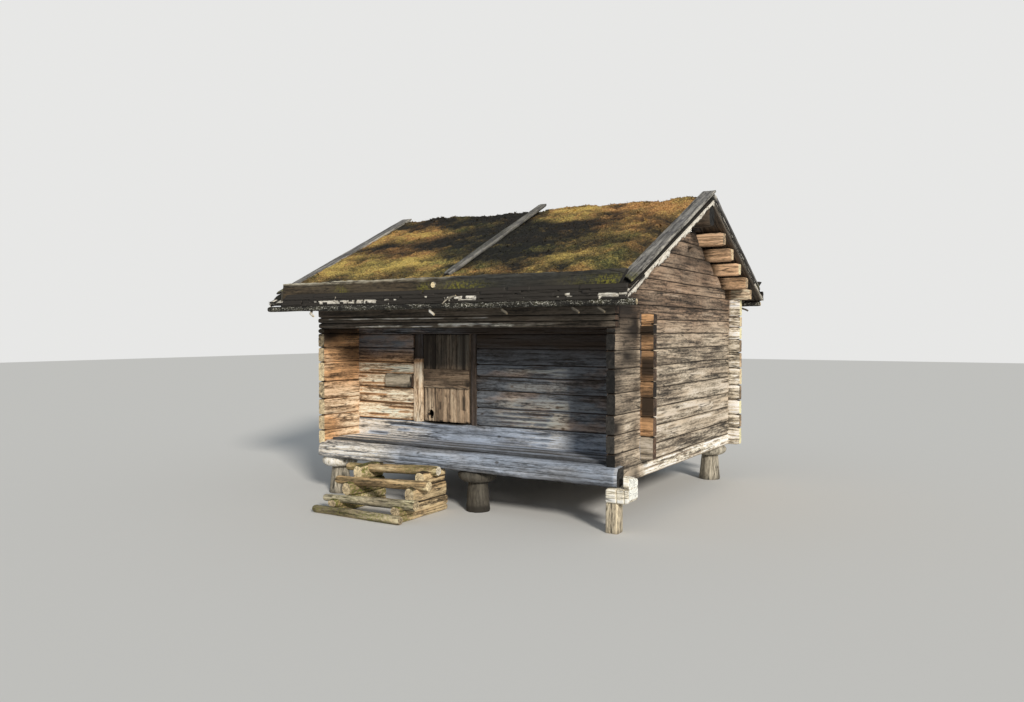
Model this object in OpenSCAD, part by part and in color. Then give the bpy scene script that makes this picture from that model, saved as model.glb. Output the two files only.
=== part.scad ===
// Raised log granary with an open porch and a turf roof, standing on six capped posts.
// The ground is z = 0, the front faces -Y, and all sizes are millimetres.

/* [Log walls] */
// Width over the outer faces of the two side walls
wall_span = 4600; // [3600:50:5600]
// Depth from the front ends of the side walls to the outer face of the back wall
wall_depth = 4340; // [3800:20:5400]
// Depth of the open porch in front of the recessed wall
porch_depth = 710; // [500:10:1200]
// Height of the underside of the wall plates above the ground
wall_top = 2790; // [2600:5:3000]
// Thickness of a hewn wall log
log_t = 120; // [90:5:160]
// How far crossing log ends run past a corner
log_end = 170; // [80:10:300]
// How far the wall plate at the back runs past the side walls
plate_end = 320; // [100:10:400]
// Height of the wall plate at the back
plate_h = 150; // [120:5:180]
// Bevel along the edges of a hewn log
log_edge = 14; // [6:1:25]
// Width of the vent slot in each gable
vent_w = 180; // [80:10:260]
// Height of the vent slot in each gable
vent_h = 60; // [30:5:90]

/* [Floor] */
// Height of the underside of the sills above the ground
sill_z = 525; // [400:5:650]
// Height of the walking surface above the ground
floor_z = 790; // [760:5:850]
// Thickness of the floor boards
floor_t = 45; // [25:1:60]
// Gap between two floor boards
board_gap = 4; // [2:1:8]
// Width of a floor joist
joist_w = 140; // [90:5:180]
// Height of a floor joist
joist_h = 145; // [100:5:160]
// Thickness front to back of the big beam along the porch edge
porch_beam_t = 200; // [120:5:300]
// Height of the top of the big beam along the porch edge
porch_beam_top = 755; // [650:5:780]
// How far the big beam stands out in front of the side walls
porch_beam_out = 60; // [20:5:100]
// How far the big beam runs out past the right wall
porch_beam_over = 50; // [10:5:80]
// How far the big beam stops short of the outer face of the left wall
porch_beam_left_in = 50; // [0:5:80]

/* [Doorway] */
// Left side of the door opening, measured from the middle of the front
door_left = -1000; // [-1300:10:-600]
// Clear width of the door opening
door_w = 835; // [700:5:950]
// Height of the top of the threshold log
threshold_top = 1023; // [960:1:1080]
// Height of the underside of the log above the door
door_top = 2252; // [2000:2:2300]
// Depth of the worn dip in the threshold log
threshold_dip = 51; // [20:1:70]
// Width of the left jamb plank
jamb_left_w = 150; // [80:5:200]
// Width of the right jamb plank
jamb_right_w = 100; // [60:5:200]
// Thickness of the door boards
door_t = 42; // [30:1:50]
// Gap around the door leaf
door_gap = 10; // [7:1:20]
// Width of the batten across the outside of the door
batten_w = 265; // [120:5:300]
// Thickness of that batten
batten_t = 18; // [10:1:30]
// Height of the middle of the batten above the ground
batten_z = 1632; // [1500:2:1750]
// Diameter of the cat hole in the door
cat_hole_d = 100; // [70:5:130]
// Diameter of the tenons that the door turns on
pivot_d = 34; // [24:1:38]
// Length of each of those tenons
pivot_l = 48; // [30:1:60]
// Length of the board beside the door that carries the lock
lock_board_l = 500; // [300:10:700]
// Height of that board
lock_board_h = 215; // [120:5:260]
// Thickness of that board
lock_board_t = 55; // [30:1:80]

/* [Roof] */
// Distance of the ridge behind the front ends of the side walls
ridge_y = 2400; // [2200:20:2600]
// Height of the upper side of the bark layer at the ridge
ridge_top = 4055; // [3750:5:4500]
// Height of the upper side of the bark layer at the front eave
eave_front_top = 2700; // [2650:5:2760]
// Height of the upper side of the bark layer at the back eave
eave_back_top = 2830; // [2780:5:2880]
// How far the front eave runs out past the side walls
eave_front_out = 450; // [300:10:600]
// How far the back eave runs out past the back wall
eave_back_out = 510; // [400:10:600]
// How far the left roof edge runs out past the left wall
roof_left_out = 490; // [400:10:600]
// How far the right roof edge runs out past the right wall
roof_right_out = 360; // [350:10:600]
// Thickness of the boards and bark, measured upright
deck_v = 60; // [40:5:80]
// Height of the turf above the bark at the ridge
turf_t = 85; // [75:1:160]
// Thickness of the planks that hold the turf at the eaves
eave_plank_t = 70; // [40:5:120]
// Height of those planks
eave_plank_h = 257; // [200:1:320]
// How far those planks stop short of the roof's left edge
plank_left_in = 270; // [100:10:400]
// How far those planks stop short of the roof's right edge
plank_right_in = 20; // [10:2:100]
// How far the turf lies below the top of those planks
turf_drop = 32; // [10:1:60]
// Width of the boards along the roof edges
verge_w = 200; // [120:5:300]
// Thickness of the boards along the roof edges, measured upright
verge_v = 42; // [25:1:60]
// Height of the underside of those boards above the bark at the ridge
verge_lift = 70; // [50:1:75]
// Width of the narrow boards that lie on the turf
loose_board_w = 75; // [50:5:120]
// Thickness of those boards
loose_board_t = 55; // [30:1:70]
// Diameter of the poles below the eaves
pole_d = 76; // [50:2:100]

/* [Purlins] */
// Number of purlins on the back slope
purlin_n = 4; // [3:1:5]
// How far the ridge purlin and the back purlins run out past the side walls
purlin_out = 320; // [150:10:340]
// Thickness of a purlin front to back
purlin_t = 150; // [100:5:180]
// Height of a back purlin at its lower side
purlin_h = 185; // [150:5:190]
// Height of a front purlin at its lower side
front_purlin_h = 200; // [150:5:220]
// Thickness of the ridge purlin front to back
ridge_purlin_t = 240; // [200:10:280]
// Height of the ridge purlin
ridge_purlin_h = 300; // [260:5:330]
// Distance of the first back purlin behind the ridge
purlin_first = 480; // [420:10:540]
// Distance of the last back purlin in front of the back wall
purlin_last = 215; // [180:5:260]

/* [Posts] */
// Diameter of a round post at its head
post_head_d = 270; // [180:5:320]
// Diameter of a round post at the ground
post_foot_d = 360; // [200:5:420]
// Diameter of a round post cap
cap_d = 520; // [400:10:600]
// Thickness of a round post cap
cap_h = 135; // [100:5:160]
// Distance of the corner posts in from the outer faces of the side walls
post_in = 220; // [180:10:300]
// Place of the middle posts, measured from the middle of the front
middle_post_x = 300; // [0:10:500]
// Width of the square post at the right front corner
square_post_w = 160; // [140:10:240]
// Width of the hewn block on the square post
square_cap_w = 285; // [260:5:320]
// Depth of that block from front to back
square_cap_l = 265; // [240:5:300]
// Height of that block
square_cap_h = 175; // [120:5:200]
// Width of the upstand of that block beside the beam
upstand_w = 70; // [60:5:90]
// Gap between that upstand and the end of the porch beam
upstand_gap = 75; // [60:5:90]
// Height of that upstand
upstand_h = 155; // [80:5:200]

/* [Steps] */
// Diameter of the round logs that make the treads
tread_d = 120; // [100:2:130]
// Length of the uppermost tread
tread_l = 1530; // [1300:5:1700]
// How far the middle of the uppermost tread lies below the underside of the sills
tread_below = 27; // [20:1:40]
// How much higher the right end of that tread lies than its left end
tread_rise = 54; // [0:2:70]
// Distance of the uppermost tread in front of the side walls
tread_first = 200; // [180:5:240]
// Distance between the uppermost and the lowest tread
steps_run = 760; // [720:5:900]
// Place of the middle of the uppermost tread, measured from the middle of the front
steps_x = -794; // [-1000:2:-700]
// Width of the side logs that the treads are notched into
side_log_w = 160; // [120:5:190]
// Height of the lowest side logs
side_log_low = 75; // [60:5:90]
// Depth of the notches below the treads
tread_notch = 50; // [30:2:56]
// How far the lowest tread runs out past the side logs on the right
tread_over = 52; // [20:2:80]

/* [Hidden] */
$fn = 48;
half = wall_span/2;
in_x = half - log_t;
in_back = wall_depth - log_t;
front_y = porch_depth;
front_in = porch_depth + log_t;
beam_back = porch_beam_t - porch_beam_out;
joist_top = floor_z - floor_t;
door_right = door_left + door_w;
jamb_lx = door_left - jamb_left_w;
jamb_rx = door_right + jamb_right_w;
pivot_x = door_right - door_gap - door_t/2;
pivot_y = front_y + log_t/2 - door_gap;
leaf_gap = 8;
roof_left = half + roof_left_out;
roof_right = half + roof_right_out;
eave_back_y = wall_depth + eave_back_out;
fall_front = (ridge_top - eave_front_top)/(ridge_y + eave_front_out);
fall_back = (ridge_top - eave_back_top)/(eave_back_y - ridge_y);
far_up = 2*ridge_top;
overlap = 1;

// Height of the upper and lower side of the bark layer at a distance from the front
function top_at(y) = y < ridge_y ? ridge_top - fall_front*(ridge_y - y)
                                 : ridge_top - fall_back*(y - ridge_y);
function under_at(y) = top_at(y) - deck_v;
// Height of what touches the bark from below and from above
seat = 0.3;
function below_bark(y) = under_at(y) - seat;
function above_bark(y) = top_at(y) + seat;

// Front face and underside of each purlin on the back slope, the uppermost first
purlin_gap = (in_back - purlin_last - ridge_y - purlin_first)/(purlin_n - 1);
function purlin_y(k) = round(ridge_y + purlin_first + k*purlin_gap);
function purlin_z(k) = round(under_at(purlin_y(k) + purlin_t) - purlin_h);
ridge_purlin_z = under_at(ridge_y) - ridge_purlin_h;
// Rounding of the ridge purlin's lower edges
ridge_round = 0.3*ridge_purlin_t;

// Joints between the log courses, as shares of the height of each wall
function joints(low, high, shares) = [for (s = shares) round(low + s*(high - low))];
wall_joints = joints(sill_z, wall_top,
    [0, 0.077, 0.161, 0.257, 0.357, 0.466, 0.589, 0.680, 0.767, 0.845, 0.920, 1]);
// The back wall lies half a course higher than the side walls
wall_n = len(wall_joints) - 1;
back_z = concat([sill_z], [for (i = [1:wall_n - 2]) round((wall_joints[i] + wall_joints[i + 1])/2)],
                [wall_top]);
gable_joints = concat([for (k = [purlin_n - 1:-1:0]) purlin_z(k)], [ridge_purlin_z, ridge_top]);
side_z = concat(wall_joints, gable_joints);
front_z = joints(threshold_top, door_top, [0, 0.194, 0.378, 0.538, 0.672, 0.841, 1]);
over_z = joints(door_top, under_at(front_in), [0, 0.13, 0.266, 0.45, 0.63, 0.82, 1]);
// Only the lower courses over the door cross the side walls
over_ends = 2;
cross_top = over_z[over_ends];
header_low = door_top + 78;
header_z = joints(header_low, under_at(log_t), [0, 0.15, 0.29, 0.62, 1]);
// How far the courses above the wall plate run past the back wall
top_step = plate_h/6;

plank_in_front = -eave_front_out + eave_plank_t;
plank_in_back = eave_back_y - eave_plank_t;
turf_ridge = ridge_top + turf_t;
turf_eave_front = eave_front_top + eave_plank_h - turf_drop;
turf_eave_back = eave_back_top + eave_plank_h - turf_drop;
// Lower side of the verge boards at the eaves and at the ridge
verge_eave = 45;
verge_front_z = top_at(plank_in_front) + verge_eave;
verge_back_z = top_at(plank_in_back) + verge_eave;
verge_ridge_z = ridge_top + verge_lift;
pole_gap = 4;
pole_front_y = -eave_front_out - 2;
pole_back_y = eave_back_y + 2;
pole_front_z = eave_front_top - deck_v - pole_gap - pole_d/2;
pole_back_z = eave_back_top - deck_v - pole_gap - pole_d/2;
pole_left_over = 10;
pole_right_over = 94;
pole_back_in = 40;
hook_w = 44;
hook_t = 45;
hook_lip = 20;

// Along the steps, 0 is the uppermost tread and 1 the lowest
tread_top_z = sill_z - tread_below;
tread_at = [0, 0.395, 0.79, 1];
tread_down = [0, 0.305, 0.698, 1];
tread_lift = [1, 0.83, 0.46, 0]*tread_rise;
tread_share = [1, 0.99, 0.97, 0.915];
tread_shift = [0, 0.055, 0.091, 0.05]*tread_l;
function tread_y(i) = -round(tread_first + tread_at[i]*steps_run);
function tread_z(i) = tread_top_z - round(tread_down[i]*(tread_top_z - tread_d/2));
function tread_half(i) = tread_l*tread_share[i]/2;
function tread_mid(i) = steps_x + tread_shift[i];
function tread_angle(i) = atan(tread_lift[i]/2/tread_half(i));
// Height of the lower side of a tread at a place along it
function tread_under(i, x) = tread_z(i) + (x - tread_mid(i))*tan(tread_angle(i))
                             - tread_d/2/cos(tread_angle(i));

// Extent of the whole object, for the placing of its origin
y_front = tread_y(3) - tread_d/2;
y_back = pole_back_y + pole_d/2 + 1 + hook_lip;
x_left = -roof_left - pole_left_over;
x_right = roof_right + pole_right_over;
origin_x = (x_left + x_right)/2;
origin_y = (y_front + y_back)/2;

// Cross-section of a hewn log: thickness w, height h, edges bevelled by e
function hewn(w, h, e) = [[e, 0], [w - e, 0], [w, e], [w, h - e],
                          [w - e, h], [e, h], [0, h - e], [0, e]];

module along_x(x0, x1, y) {
    translate([x0, y, 0]) rotate([90, 0, 90]) linear_extrude(x1 - x0) children();
}

module along_y(y0, y1, x) {
    translate([x, y1, 0]) rotate([90, 0, 0]) linear_extrude(y1 - y0) children();
}

module log_x(x0, x1, y, z0, z1, w = log_t) {
    along_x(x0, x1, y) translate([0, z0]) polygon(hewn(w, z1 - z0, log_edge));
}

module log_y(y0, y1, x, z0, z1, w = log_t) {
    along_y(y0, y1, x) translate([0, z0]) polygon(hewn(w, z1 - z0, log_edge));
}

// A block between two corners
module block(a, b) {
    translate(a) cube(b - a);
}

// The part of each course at a crossing that belongs to the wall running left-right
module upper_halves(x, y) {
    for (i = [0:len(side_z) - 2])
        block([x, y, (side_z[i] + side_z[i + 1])/2], [x + log_t, y + log_t, side_z[i + 1]]);
}

// The part of each course at a crossing that belongs to the wall running front-back
module lower_halves(x, y) {
    for (i = [0:len(side_z) - 2])
        block([x, y, side_z[i]], [x + log_t, y + log_t, (side_z[i] + side_z[i + 1])/2]);
}

// Everything that lies below the bark, between two planes across the building
module below_roof(x0, x1) {
    along_x(x0, x1, 0) polygon([[-eave_front_out, 0], [eave_back_y, 0],
        [eave_back_y, below_bark(eave_back_y)], [ridge_y, below_bark(ridge_y)],
        [-eave_front_out, below_bark(-eave_front_out)]]);
}

// Outline of the ridge purlin below the bark, from its back to its front
function ridge_purlin_seat() =
    let (back = ridge_y + ridge_purlin_t/2, front = ridge_y - ridge_purlin_t/2, z = ridge_purlin_z)
    [[back, below_bark(back)], [back, z + ridge_round], [back - ridge_round, z],
     [front + ridge_round, z], [front, z + ridge_round], [front, below_bark(front)]];

// Outline of a side wall: straight below the front slope, stepped under the back purlins
module gable_outline(x0, x1) {
    last = purlin_n - 1;
    top_y = wall_depth + top_step;
    along_x(x0, x1, 0) polygon(concat(
        [[0, 0], [wall_depth + log_end, 0], [wall_depth + log_end, wall_top],
         [top_y, wall_top], [top_y, below_bark(top_y)],
         [purlin_y(last) + purlin_t, below_bark(top_y)]],
        [for (k = [last:-1:0]) each
            [[purlin_y(k) + purlin_t, purlin_z(k)], [purlin_y(k), purlin_z(k)],
             [purlin_y(k), k > 0 ? purlin_z(k - 1) : ridge_purlin_z]]],
        [[purlin_y(0), below_bark(purlin_y(0))]], ridge_purlin_seat(), [[0, below_bark(0)]]));
}

module side_wall(x) {
    difference() {
        intersection() {
            union() for (i = [0:len(side_z) - 2])
                log_y(0, wall_depth + log_end, x, side_z[i], side_z[i + 1]);
            gable_outline(x - overlap, x + log_t + overlap);
        }
        block([x - overlap, -overlap, 0], [x + log_t + overlap, beam_back, porch_beam_top]);
        intersection() {
            upper_halves(x, front_y);
            block([x, front_y, joist_top], [x + log_t, front_in, cross_top]);
        }
        intersection() {
            upper_halves(x, in_back);
            below_roof(x, x + log_t);
        }
        front_purlin_shapes(far_up);
        block([x - overlap, -overlap, header_low], [x + log_t + overlap, log_t, far_up]);
        block([x - overlap, ridge_y, (purlin_z(0) + purlin_z(1) - vent_h)/2],
              [x + log_t + overlap, ridge_y + vent_w, (purlin_z(0) + purlin_z(1) + vent_h)/2]);
    }
}

module left_wall() {
    color([0.47, 0.40, 0.33]) side_wall(-half);
}

module right_wall() {
    color([0.52, 0.44, 0.35]) side_wall(in_x);
}

module back_wall() {
    color([0.45, 0.39, 0.32]) difference() {
        union() {
            for (i = [0:len(back_z) - 2])
                log_x(-half - log_end, half + log_end, in_back, back_z[i], back_z[i + 1]);
            log_x(-half - plate_end, half + plate_end, in_back, wall_top, wall_top + plate_h);
            intersection() {
                log_x(-half, half, in_back, wall_top + plate_h, under_at(in_back));
                below_roof(-half, half);
            }
        }
        lower_halves(-half, in_back);
        lower_halves(in_x, in_back);
    }
}

// Cuts the courses of the recessed wall where the side walls pass through
module front_crossings() {
    lower_halves(-half, front_y);
    lower_halves(in_x, front_y);
}

// The lowest log of the recessed wall, worn down where people step over it
module threshold_log() {
    dip_z = threshold_top - threshold_dip;
    shoulder_z = threshold_top - 0.75*threshold_dip;
    color([0.55, 0.48, 0.40]) difference() {
        log_x(-half - log_end, half + log_end, front_y, joist_top, threshold_top);
        front_crossings();
        along_y(front_y - overlap, front_in + overlap, door_left)
            polygon([[0.04*door_w, threshold_top + overlap], [0.12*door_w, shoulder_z],
                     [0.30*door_w, dip_z], [0.65*door_w, dip_z],
                     [0.83*door_w, shoulder_z], [0.91*door_w, threshold_top + overlap]]);
        translate([pivot_x, pivot_y, threshold_top - pivot_l + leaf_gap])
            cylinder(d = pivot_d + 2, h = pivot_l);
    }
}

module front_wall_left() {
    color([0.55, 0.47, 0.38]) difference() {
        union() for (i = [0:len(front_z) - 2])
            log_x(-half - log_end, jamb_lx, front_y, front_z[i], front_z[i + 1]);
        front_crossings();
    }
}

module front_wall_right() {
    color([0.50, 0.46, 0.42]) difference() {
        union() for (i = [0:len(front_z) - 2])
            log_x(jamb_rx, half + log_end, front_y, front_z[i], front_z[i + 1]);
        front_crossings();
    }
}

module front_wall_over_door() {
    color([0.45, 0.40, 0.35]) difference() {
        intersection() {
            union() for (i = [0:len(over_z) - 2]) {
                reach = i < over_ends ? half + log_end : in_x;
                log_x(-reach, reach, front_y, over_z[i], over_z[i + 1]);
            }
            below_roof(-half - log_end, half + log_end);
        }
        front_crossings();
        translate([pivot_x, pivot_y, door_top - overlap])
            cylinder(d = pivot_d + 2, h = pivot_l + overlap);
    }
}

module left_jamb() {
    color([0.60, 0.52, 0.42])
        block([jamb_lx, front_y, threshold_top], [door_left, front_in, door_top]);
}

module right_jamb() {
    color([0.48, 0.43, 0.37])
        block([door_right, front_y, threshold_top], [jamb_rx, front_in, door_top]);
}

// The leaf: upright boards, a wide batten across the outside and a hole for the cat.
// It turns inwards on two tenons, one in the threshold log and one in the log above.
module door_leaf() {
    x0 = door_left + door_gap;
    z0 = threshold_top + leaf_gap;
    z1 = door_top - leaf_gap;
    y0 = pivot_y - door_t/2;
    y1 = pivot_y + door_t/2;
    hole_x = x0 + 1.25*cat_hole_d;
    hole_z = threshold_top + 1.17*cat_hole_d;
    slot = 0.3*cat_hole_d;
    tenon_low = threshold_top - pivot_l + leaf_gap + 0.4;
    tenon_high = door_top + pivot_l - leaf_gap;
    color([0.50, 0.43, 0.35]) difference() {
        union() {
            block([x0, y0, z0], [pivot_x, y1, z1]);
            translate([pivot_x, pivot_y, z0]) cylinder(d = door_t, h = z1 - z0);
            translate([pivot_x, pivot_y, tenon_low])
                cylinder(d = pivot_d, h = tenon_high - tenon_low);
            block([x0 + leaf_gap, y0 - batten_t, batten_z - batten_w/2],
                  [pivot_x, y0, batten_z + batten_w/2]);
        }
        block([hole_x - slot, y0 - overlap, hole_z - 0.75*cat_hole_d],
              [hole_x + slot, y1 + overlap, hole_z]);
        translate([hole_x, y0 - overlap, hole_z]) rotate([-90, 0, 0])
            cylinder(d = cat_hole_d, h = door_t + 2*overlap);
    }
}

module lock_board() {
    low = batten_z - 0.7*lock_board_h;
    color([0.52, 0.47, 0.40])
        block([jamb_lx - lock_board_l, front_y - lock_board_t, low],
              [jamb_lx, front_y, low + lock_board_h]);
}

// Four hewn logs that close the porch above, laid on the ends of the side walls
module porch_header() {
    color([0.43, 0.38, 0.33]) intersection() {
        union() for (i = [0:len(header_z) - 2])
            log_x(-half, half, 0, header_z[i], header_z[i + 1]);
        below_roof(-half, half);
    }
}

module floor_boards(y0, y1, n) {
    w = (y1 - y0)/n;
    for (i = [0:n - 1])
        block([-in_x, y0 + i*w, joist_top], [in_x, y0 + (i + 1)*w - board_gap, floor_z]);
}

module porch_floor() {
    color([0.56, 0.56, 0.56]) floor_boards(beam_back, front_y, 2);
}

module room_floor() {
    color([0.50, 0.44, 0.36]) floor_boards(front_in, in_back, 14);
}

module floor_joists() {
    color([0.42, 0.37, 0.31]) for (s = [-0.75, -0.25, 0.25, 0.75])
        log_y(beam_back, in_back, s*in_x - joist_w/2, joist_top - joist_h, joist_top, joist_w);
}

module porch_beam() {
    x0 = porch_beam_left_in - half;
    color([0.50, 0.53, 0.56]) along_x(x0, half + porch_beam_over, -porch_beam_out)
        polygon([[0, sill_z + log_edge], [log_edge, sill_z], [porch_beam_t, sill_z],
                 [porch_beam_t, porch_beam_top], [0.22*porch_beam_t, porch_beam_top],
                 [0, porch_beam_top - 0.3*porch_beam_t]]);
}

corner_x = half - post_in;
front_post_y = 200;
back_post_at = [[-corner_x, wall_depth - 340], [middle_post_x, wall_depth - 160],
                [corner_x, wall_depth - 340]];

// A round post that widens towards the ground
module round_post(x, y) {
    translate([x, y, 0]) cylinder(d1 = post_foot_d, d2 = post_head_d, h = sill_z - cap_h);
}

// A mushroom cap that keeps mice from climbing into the building
module round_cap(x, y) {
    r = cap_d/2;
    translate([x, y, sill_z - cap_h]) rotate_extrude()
        polygon([[0, 0], [0.77*r, 0], [0.95*r, 0.26*cap_h], [r, 0.6*cap_h],
                 [0.9*r, 0.9*cap_h], [0.77*r, cap_h], [0, cap_h]]);
}

module front_left_post() {
    color([0.62, 0.60, 0.55]) round_post(-corner_x, front_post_y);
}

module front_middle_post() {
    color([0.58, 0.56, 0.52]) round_post(middle_post_x, front_post_y);
}

// A square post; its block stands beside the end of the porch beam
square_cap_x = half + porch_beam_over + upstand_gap + upstand_w - square_cap_w;

module front_right_post() {
    x0 = square_cap_x - square_post_w/8;
    y0 = -porch_beam_out/2;
    color([0.83, 0.79, 0.70])
        block([x0, y0, 0], [x0 + square_post_w, y0 + square_post_w, sill_z - square_cap_h]);
}

module back_posts() {
    color([0.62, 0.60, 0.55]) for (p = back_post_at)
        round_post(p.x, p.y);
}

module front_left_cap() {
    color([0.75, 0.72, 0.65]) round_cap(-corner_x, front_post_y);
}

module front_middle_cap() {
    color([0.60, 0.57, 0.52]) round_cap(middle_post_x, front_post_y);
}

module front_right_cap() {
    x1 = square_cap_x + square_cap_w;
    color([0.85, 0.81, 0.72]) union() {
        block([square_cap_x, -porch_beam_out, sill_z - square_cap_h],
              [x1, square_cap_l - porch_beam_out, sill_z]);
        block([x1 - upstand_w, -porch_beam_out, sill_z - overlap],
              [x1, square_cap_l - porch_beam_out, sill_z + upstand_h]);
    }
}

module back_caps() {
    color([0.65, 0.62, 0.57]) for (p = back_post_at)
        round_cap(p.x, p.y);
}

module ridge_purlin() {
    color([0.40, 0.33, 0.27]) along_x(-half - purlin_out, half + purlin_out, 0)
        polygon(concat(ridge_purlin_seat(), [[ridge_y, below_bark(ridge_y)]]));
}

// The purlins of the front slope end flush with the side walls
module front_purlin_shapes(rise) {
    for (k = [0:2]) {
        y = ridge_y - 4.2*purlin_t - k*2.47*purlin_t;
        z = under_at(y) - front_purlin_h;
        along_x(-half - (rise > 0 ? overlap : 0), half + (rise > 0 ? overlap : 0), y)
            polygon([[0, z], [purlin_t, z], [purlin_t, below_bark(y + purlin_t) + rise],
                     [0, below_bark(y) + rise]]);
    }
}

module front_purlins() {
    color([0.50, 0.40, 0.30]) front_purlin_shapes(0);
}

// The purlins of the back slope lie on the steps of the gables and stand out past them
module back_purlins() {
    round_off = 0.12*purlin_t;
    color([0.80, 0.62, 0.44]) for (k = [0:purlin_n - 1]) {
        top = below_bark(purlin_y(k) + purlin_t);
        along_x(-half - purlin_out, half + purlin_out, purlin_y(k))
            polygon([[0, purlin_z(k) + round_off], [round_off, purlin_z(k)],
                     [purlin_t - round_off, purlin_z(k)], [purlin_t, purlin_z(k) + round_off],
                     [purlin_t, top], [round_off, top], [0, top - round_off]]);
    }
}

module front_roof_bark() {
    color([0.72, 0.69, 0.63]) along_x(-roof_left, roof_right, 0)
        polygon([[-eave_front_out, under_at(-eave_front_out)], [ridge_y, under_at(ridge_y)],
                 [ridge_y, ridge_top], [-eave_front_out, eave_front_top]]);
}

module back_roof_bark() {
    color([0.72, 0.69, 0.63]) along_x(-roof_left, roof_right, 0)
        polygon([[ridge_y, under_at(ridge_y)], [eave_back_y, under_at(eave_back_y)],
                 [eave_back_y, eave_back_top], [ridge_y, ridge_top]]);
}

// One slope of turf: thin below the verge boards, thick between them
module turf(plank_in, eave_z, edge_z) {
    edge = 15;
    along_x(-roof_left + edge, roof_right - edge, 0)
        polygon([[plank_in, above_bark(plank_in)], [ridge_y, above_bark(ridge_y)],
                 [ridge_y, verge_ridge_z], [plank_in, edge_z]]);
    along_x(-roof_left + verge_w, roof_right - verge_w, 0)
        polygon([[plank_in, above_bark(plank_in)], [ridge_y, above_bark(ridge_y)],
                 [ridge_y, turf_ridge], [plank_in, eave_z]]);
}

module front_turf() {
    color([0.45, 0.42, 0.20]) turf(plank_in_front, turf_eave_front, verge_front_z);
}

module back_turf() {
    color([0.42, 0.40, 0.20]) turf(plank_in_back, turf_eave_back, verge_back_z);
}

// A plank on edge at an eave, cut aslant at its right end
module eave_plank(out_y, in_y, low) {
    x1 = roof_right - plank_right_in;
    slant = 0.6*eave_plank_h;
    difference() {
        along_x(-roof_left + plank_left_in, x1, 0)
            polygon([[out_y, above_bark(out_y)], [in_y, above_bark(in_y)],
                     [in_y, low + eave_plank_h], [out_y, low + eave_plank_h]]);
        along_y(min(out_y, in_y) - overlap, max(out_y, in_y) + overlap, x1)
            polygon([[-slant, low - overlap], [overlap, low - overlap],
                     [overlap, low + 0.95*eave_plank_h]]);
    }
}

module front_eave_plank() {
    color([0.38, 0.34, 0.30]) eave_plank(-eave_front_out, plank_in_front, eave_front_top);
}

module back_eave_plank() {
    color([0.38, 0.34, 0.30]) eave_plank(eave_back_y, plank_in_back, eave_back_top);
}

module eave_pole(y, z, x1) {
    translate([x_left, y, z]) rotate([0, 90, 0]) cylinder(d = pole_d, h = x1 - x_left);
}

module front_eave_pole() {
    color([0.45, 0.43, 0.30]) eave_pole(pole_front_y, pole_front_z, x_right);
}

module back_eave_pole() {
    color([0.45, 0.43, 0.30]) eave_pole(pole_back_y, pole_back_z, roof_right - pole_back_in);
}

// A wooden hook below the bark that carries the pole; s is the side of the building
module eave_hook(x, y, z, s) {
    low = z - pole_d/2;
    back0 = y + s*(pole_d/2 + 1);
    back1 = y + s*(pole_d/2 + 1 + hook_t);
    front0 = y - s*(pole_d/2 + 1);
    front1 = y - s*(pole_d/2 + 1 + hook_lip);
    along_x(x - hook_w/2, x + hook_w/2, 0)
        polygon([[back0, below_bark(back0)], [back1, below_bark(back1)], [back1, low - hook_t],
                 [front1, low - hook_t], [front1, low + 1.5*hook_lip],
                 [front0, low + 1.5*hook_lip], [front0, low], [back0, low]]);
}

module eave_hooks() {
    color([0.48, 0.42, 0.34]) for (s = [-1.013, -0.478, 0.130, 0.761, 1.013]) {
        eave_hook(s*half, pole_front_y, pole_front_z, 1);
        eave_hook(s*half, pole_back_y, pole_back_z, -1);
    }
}

// Boards that lie along one roof edge, crossing at the ridge
module verge_boards(x) {
    fall = (verge_ridge_z - verge_back_z)/(plank_in_back - ridge_y);
    front_fall = (verge_ridge_z - verge_front_z)/(ridge_y - plank_in_front);
    // The upper end of the front board is cut to lie against the back board
    meet = verge_v/(fall + front_fall);
    tip = 2*verge_v;
    translate([0, 0, seat]) {
        along_x(x, x + verge_w, -overlap)
            polygon([[plank_in_front + overlap, verge_front_z], [ridge_y, verge_ridge_z],
                     [ridge_y - meet, verge_ridge_z + meet*fall],
                     [plank_in_front + overlap, verge_front_z + verge_v]]);
        along_x(x, x + verge_w, 0)
            polygon([[ridge_y - tip, verge_ridge_z + tip*fall], [plank_in_back, verge_back_z],
                     [plank_in_back, verge_back_z + verge_v],
                     [ridge_y - tip, verge_ridge_z + tip*fall + verge_v]]);
    }
}

module right_verge_boards() {
    color([0.55, 0.54, 0.54]) verge_boards(roof_right - verge_w);
}

module left_verge_boards() {
    color([0.55, 0.54, 0.54]) verge_boards(-roof_left);
}

// Narrow boards that lie on the turf, a little askew
module middle_roof_boards() {
    front_fall = (turf_ridge - turf_eave_front)/(ridge_y - plank_in_front);
    back_fall = (turf_ridge - turf_eave_back)/(plank_in_back - ridge_y);
    front_len = (ridge_y - plank_in_front)/cos(atan(front_fall));
    back_len = (plank_in_back - ridge_y)/cos(atan(back_fall));
    size = [loose_board_w, 0, loose_board_t];
    color([0.52, 0.50, 0.48]) {
        translate([0.074*half, plank_in_front, turf_eave_front + seat])
            rotate([atan(front_fall), 0, 0]) rotate([0, 0, 4.6])
            translate([0, 0.4*loose_board_w, 0]) cube(size + [0, front_len + loose_board_t, 0]);
        translate([0.043*half, plank_in_back, turf_eave_back + seat])
            rotate([-atan(back_fall), 0, 0]) rotate([0, 0, -3])
            translate([0, 1.7*loose_board_w - back_len, 0])
            cube(size + [0, back_len - 2.3*loose_board_w, 0]);
    }
}

// Four round logs, the lowest on the ground
module treads(d) {
    for (i = [0:3])
        translate([tread_mid(i), tread_y(i), tread_z(i)]) rotate([0, 90 - tread_angle(i), 0])
            cylinder(d = d, h = 2*tread_half(i)/cos(tread_angle(i)), center = true);
}

module step_treads() {
    color([0.55, 0.47, 0.34]) treads(tread_d);
}

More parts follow.
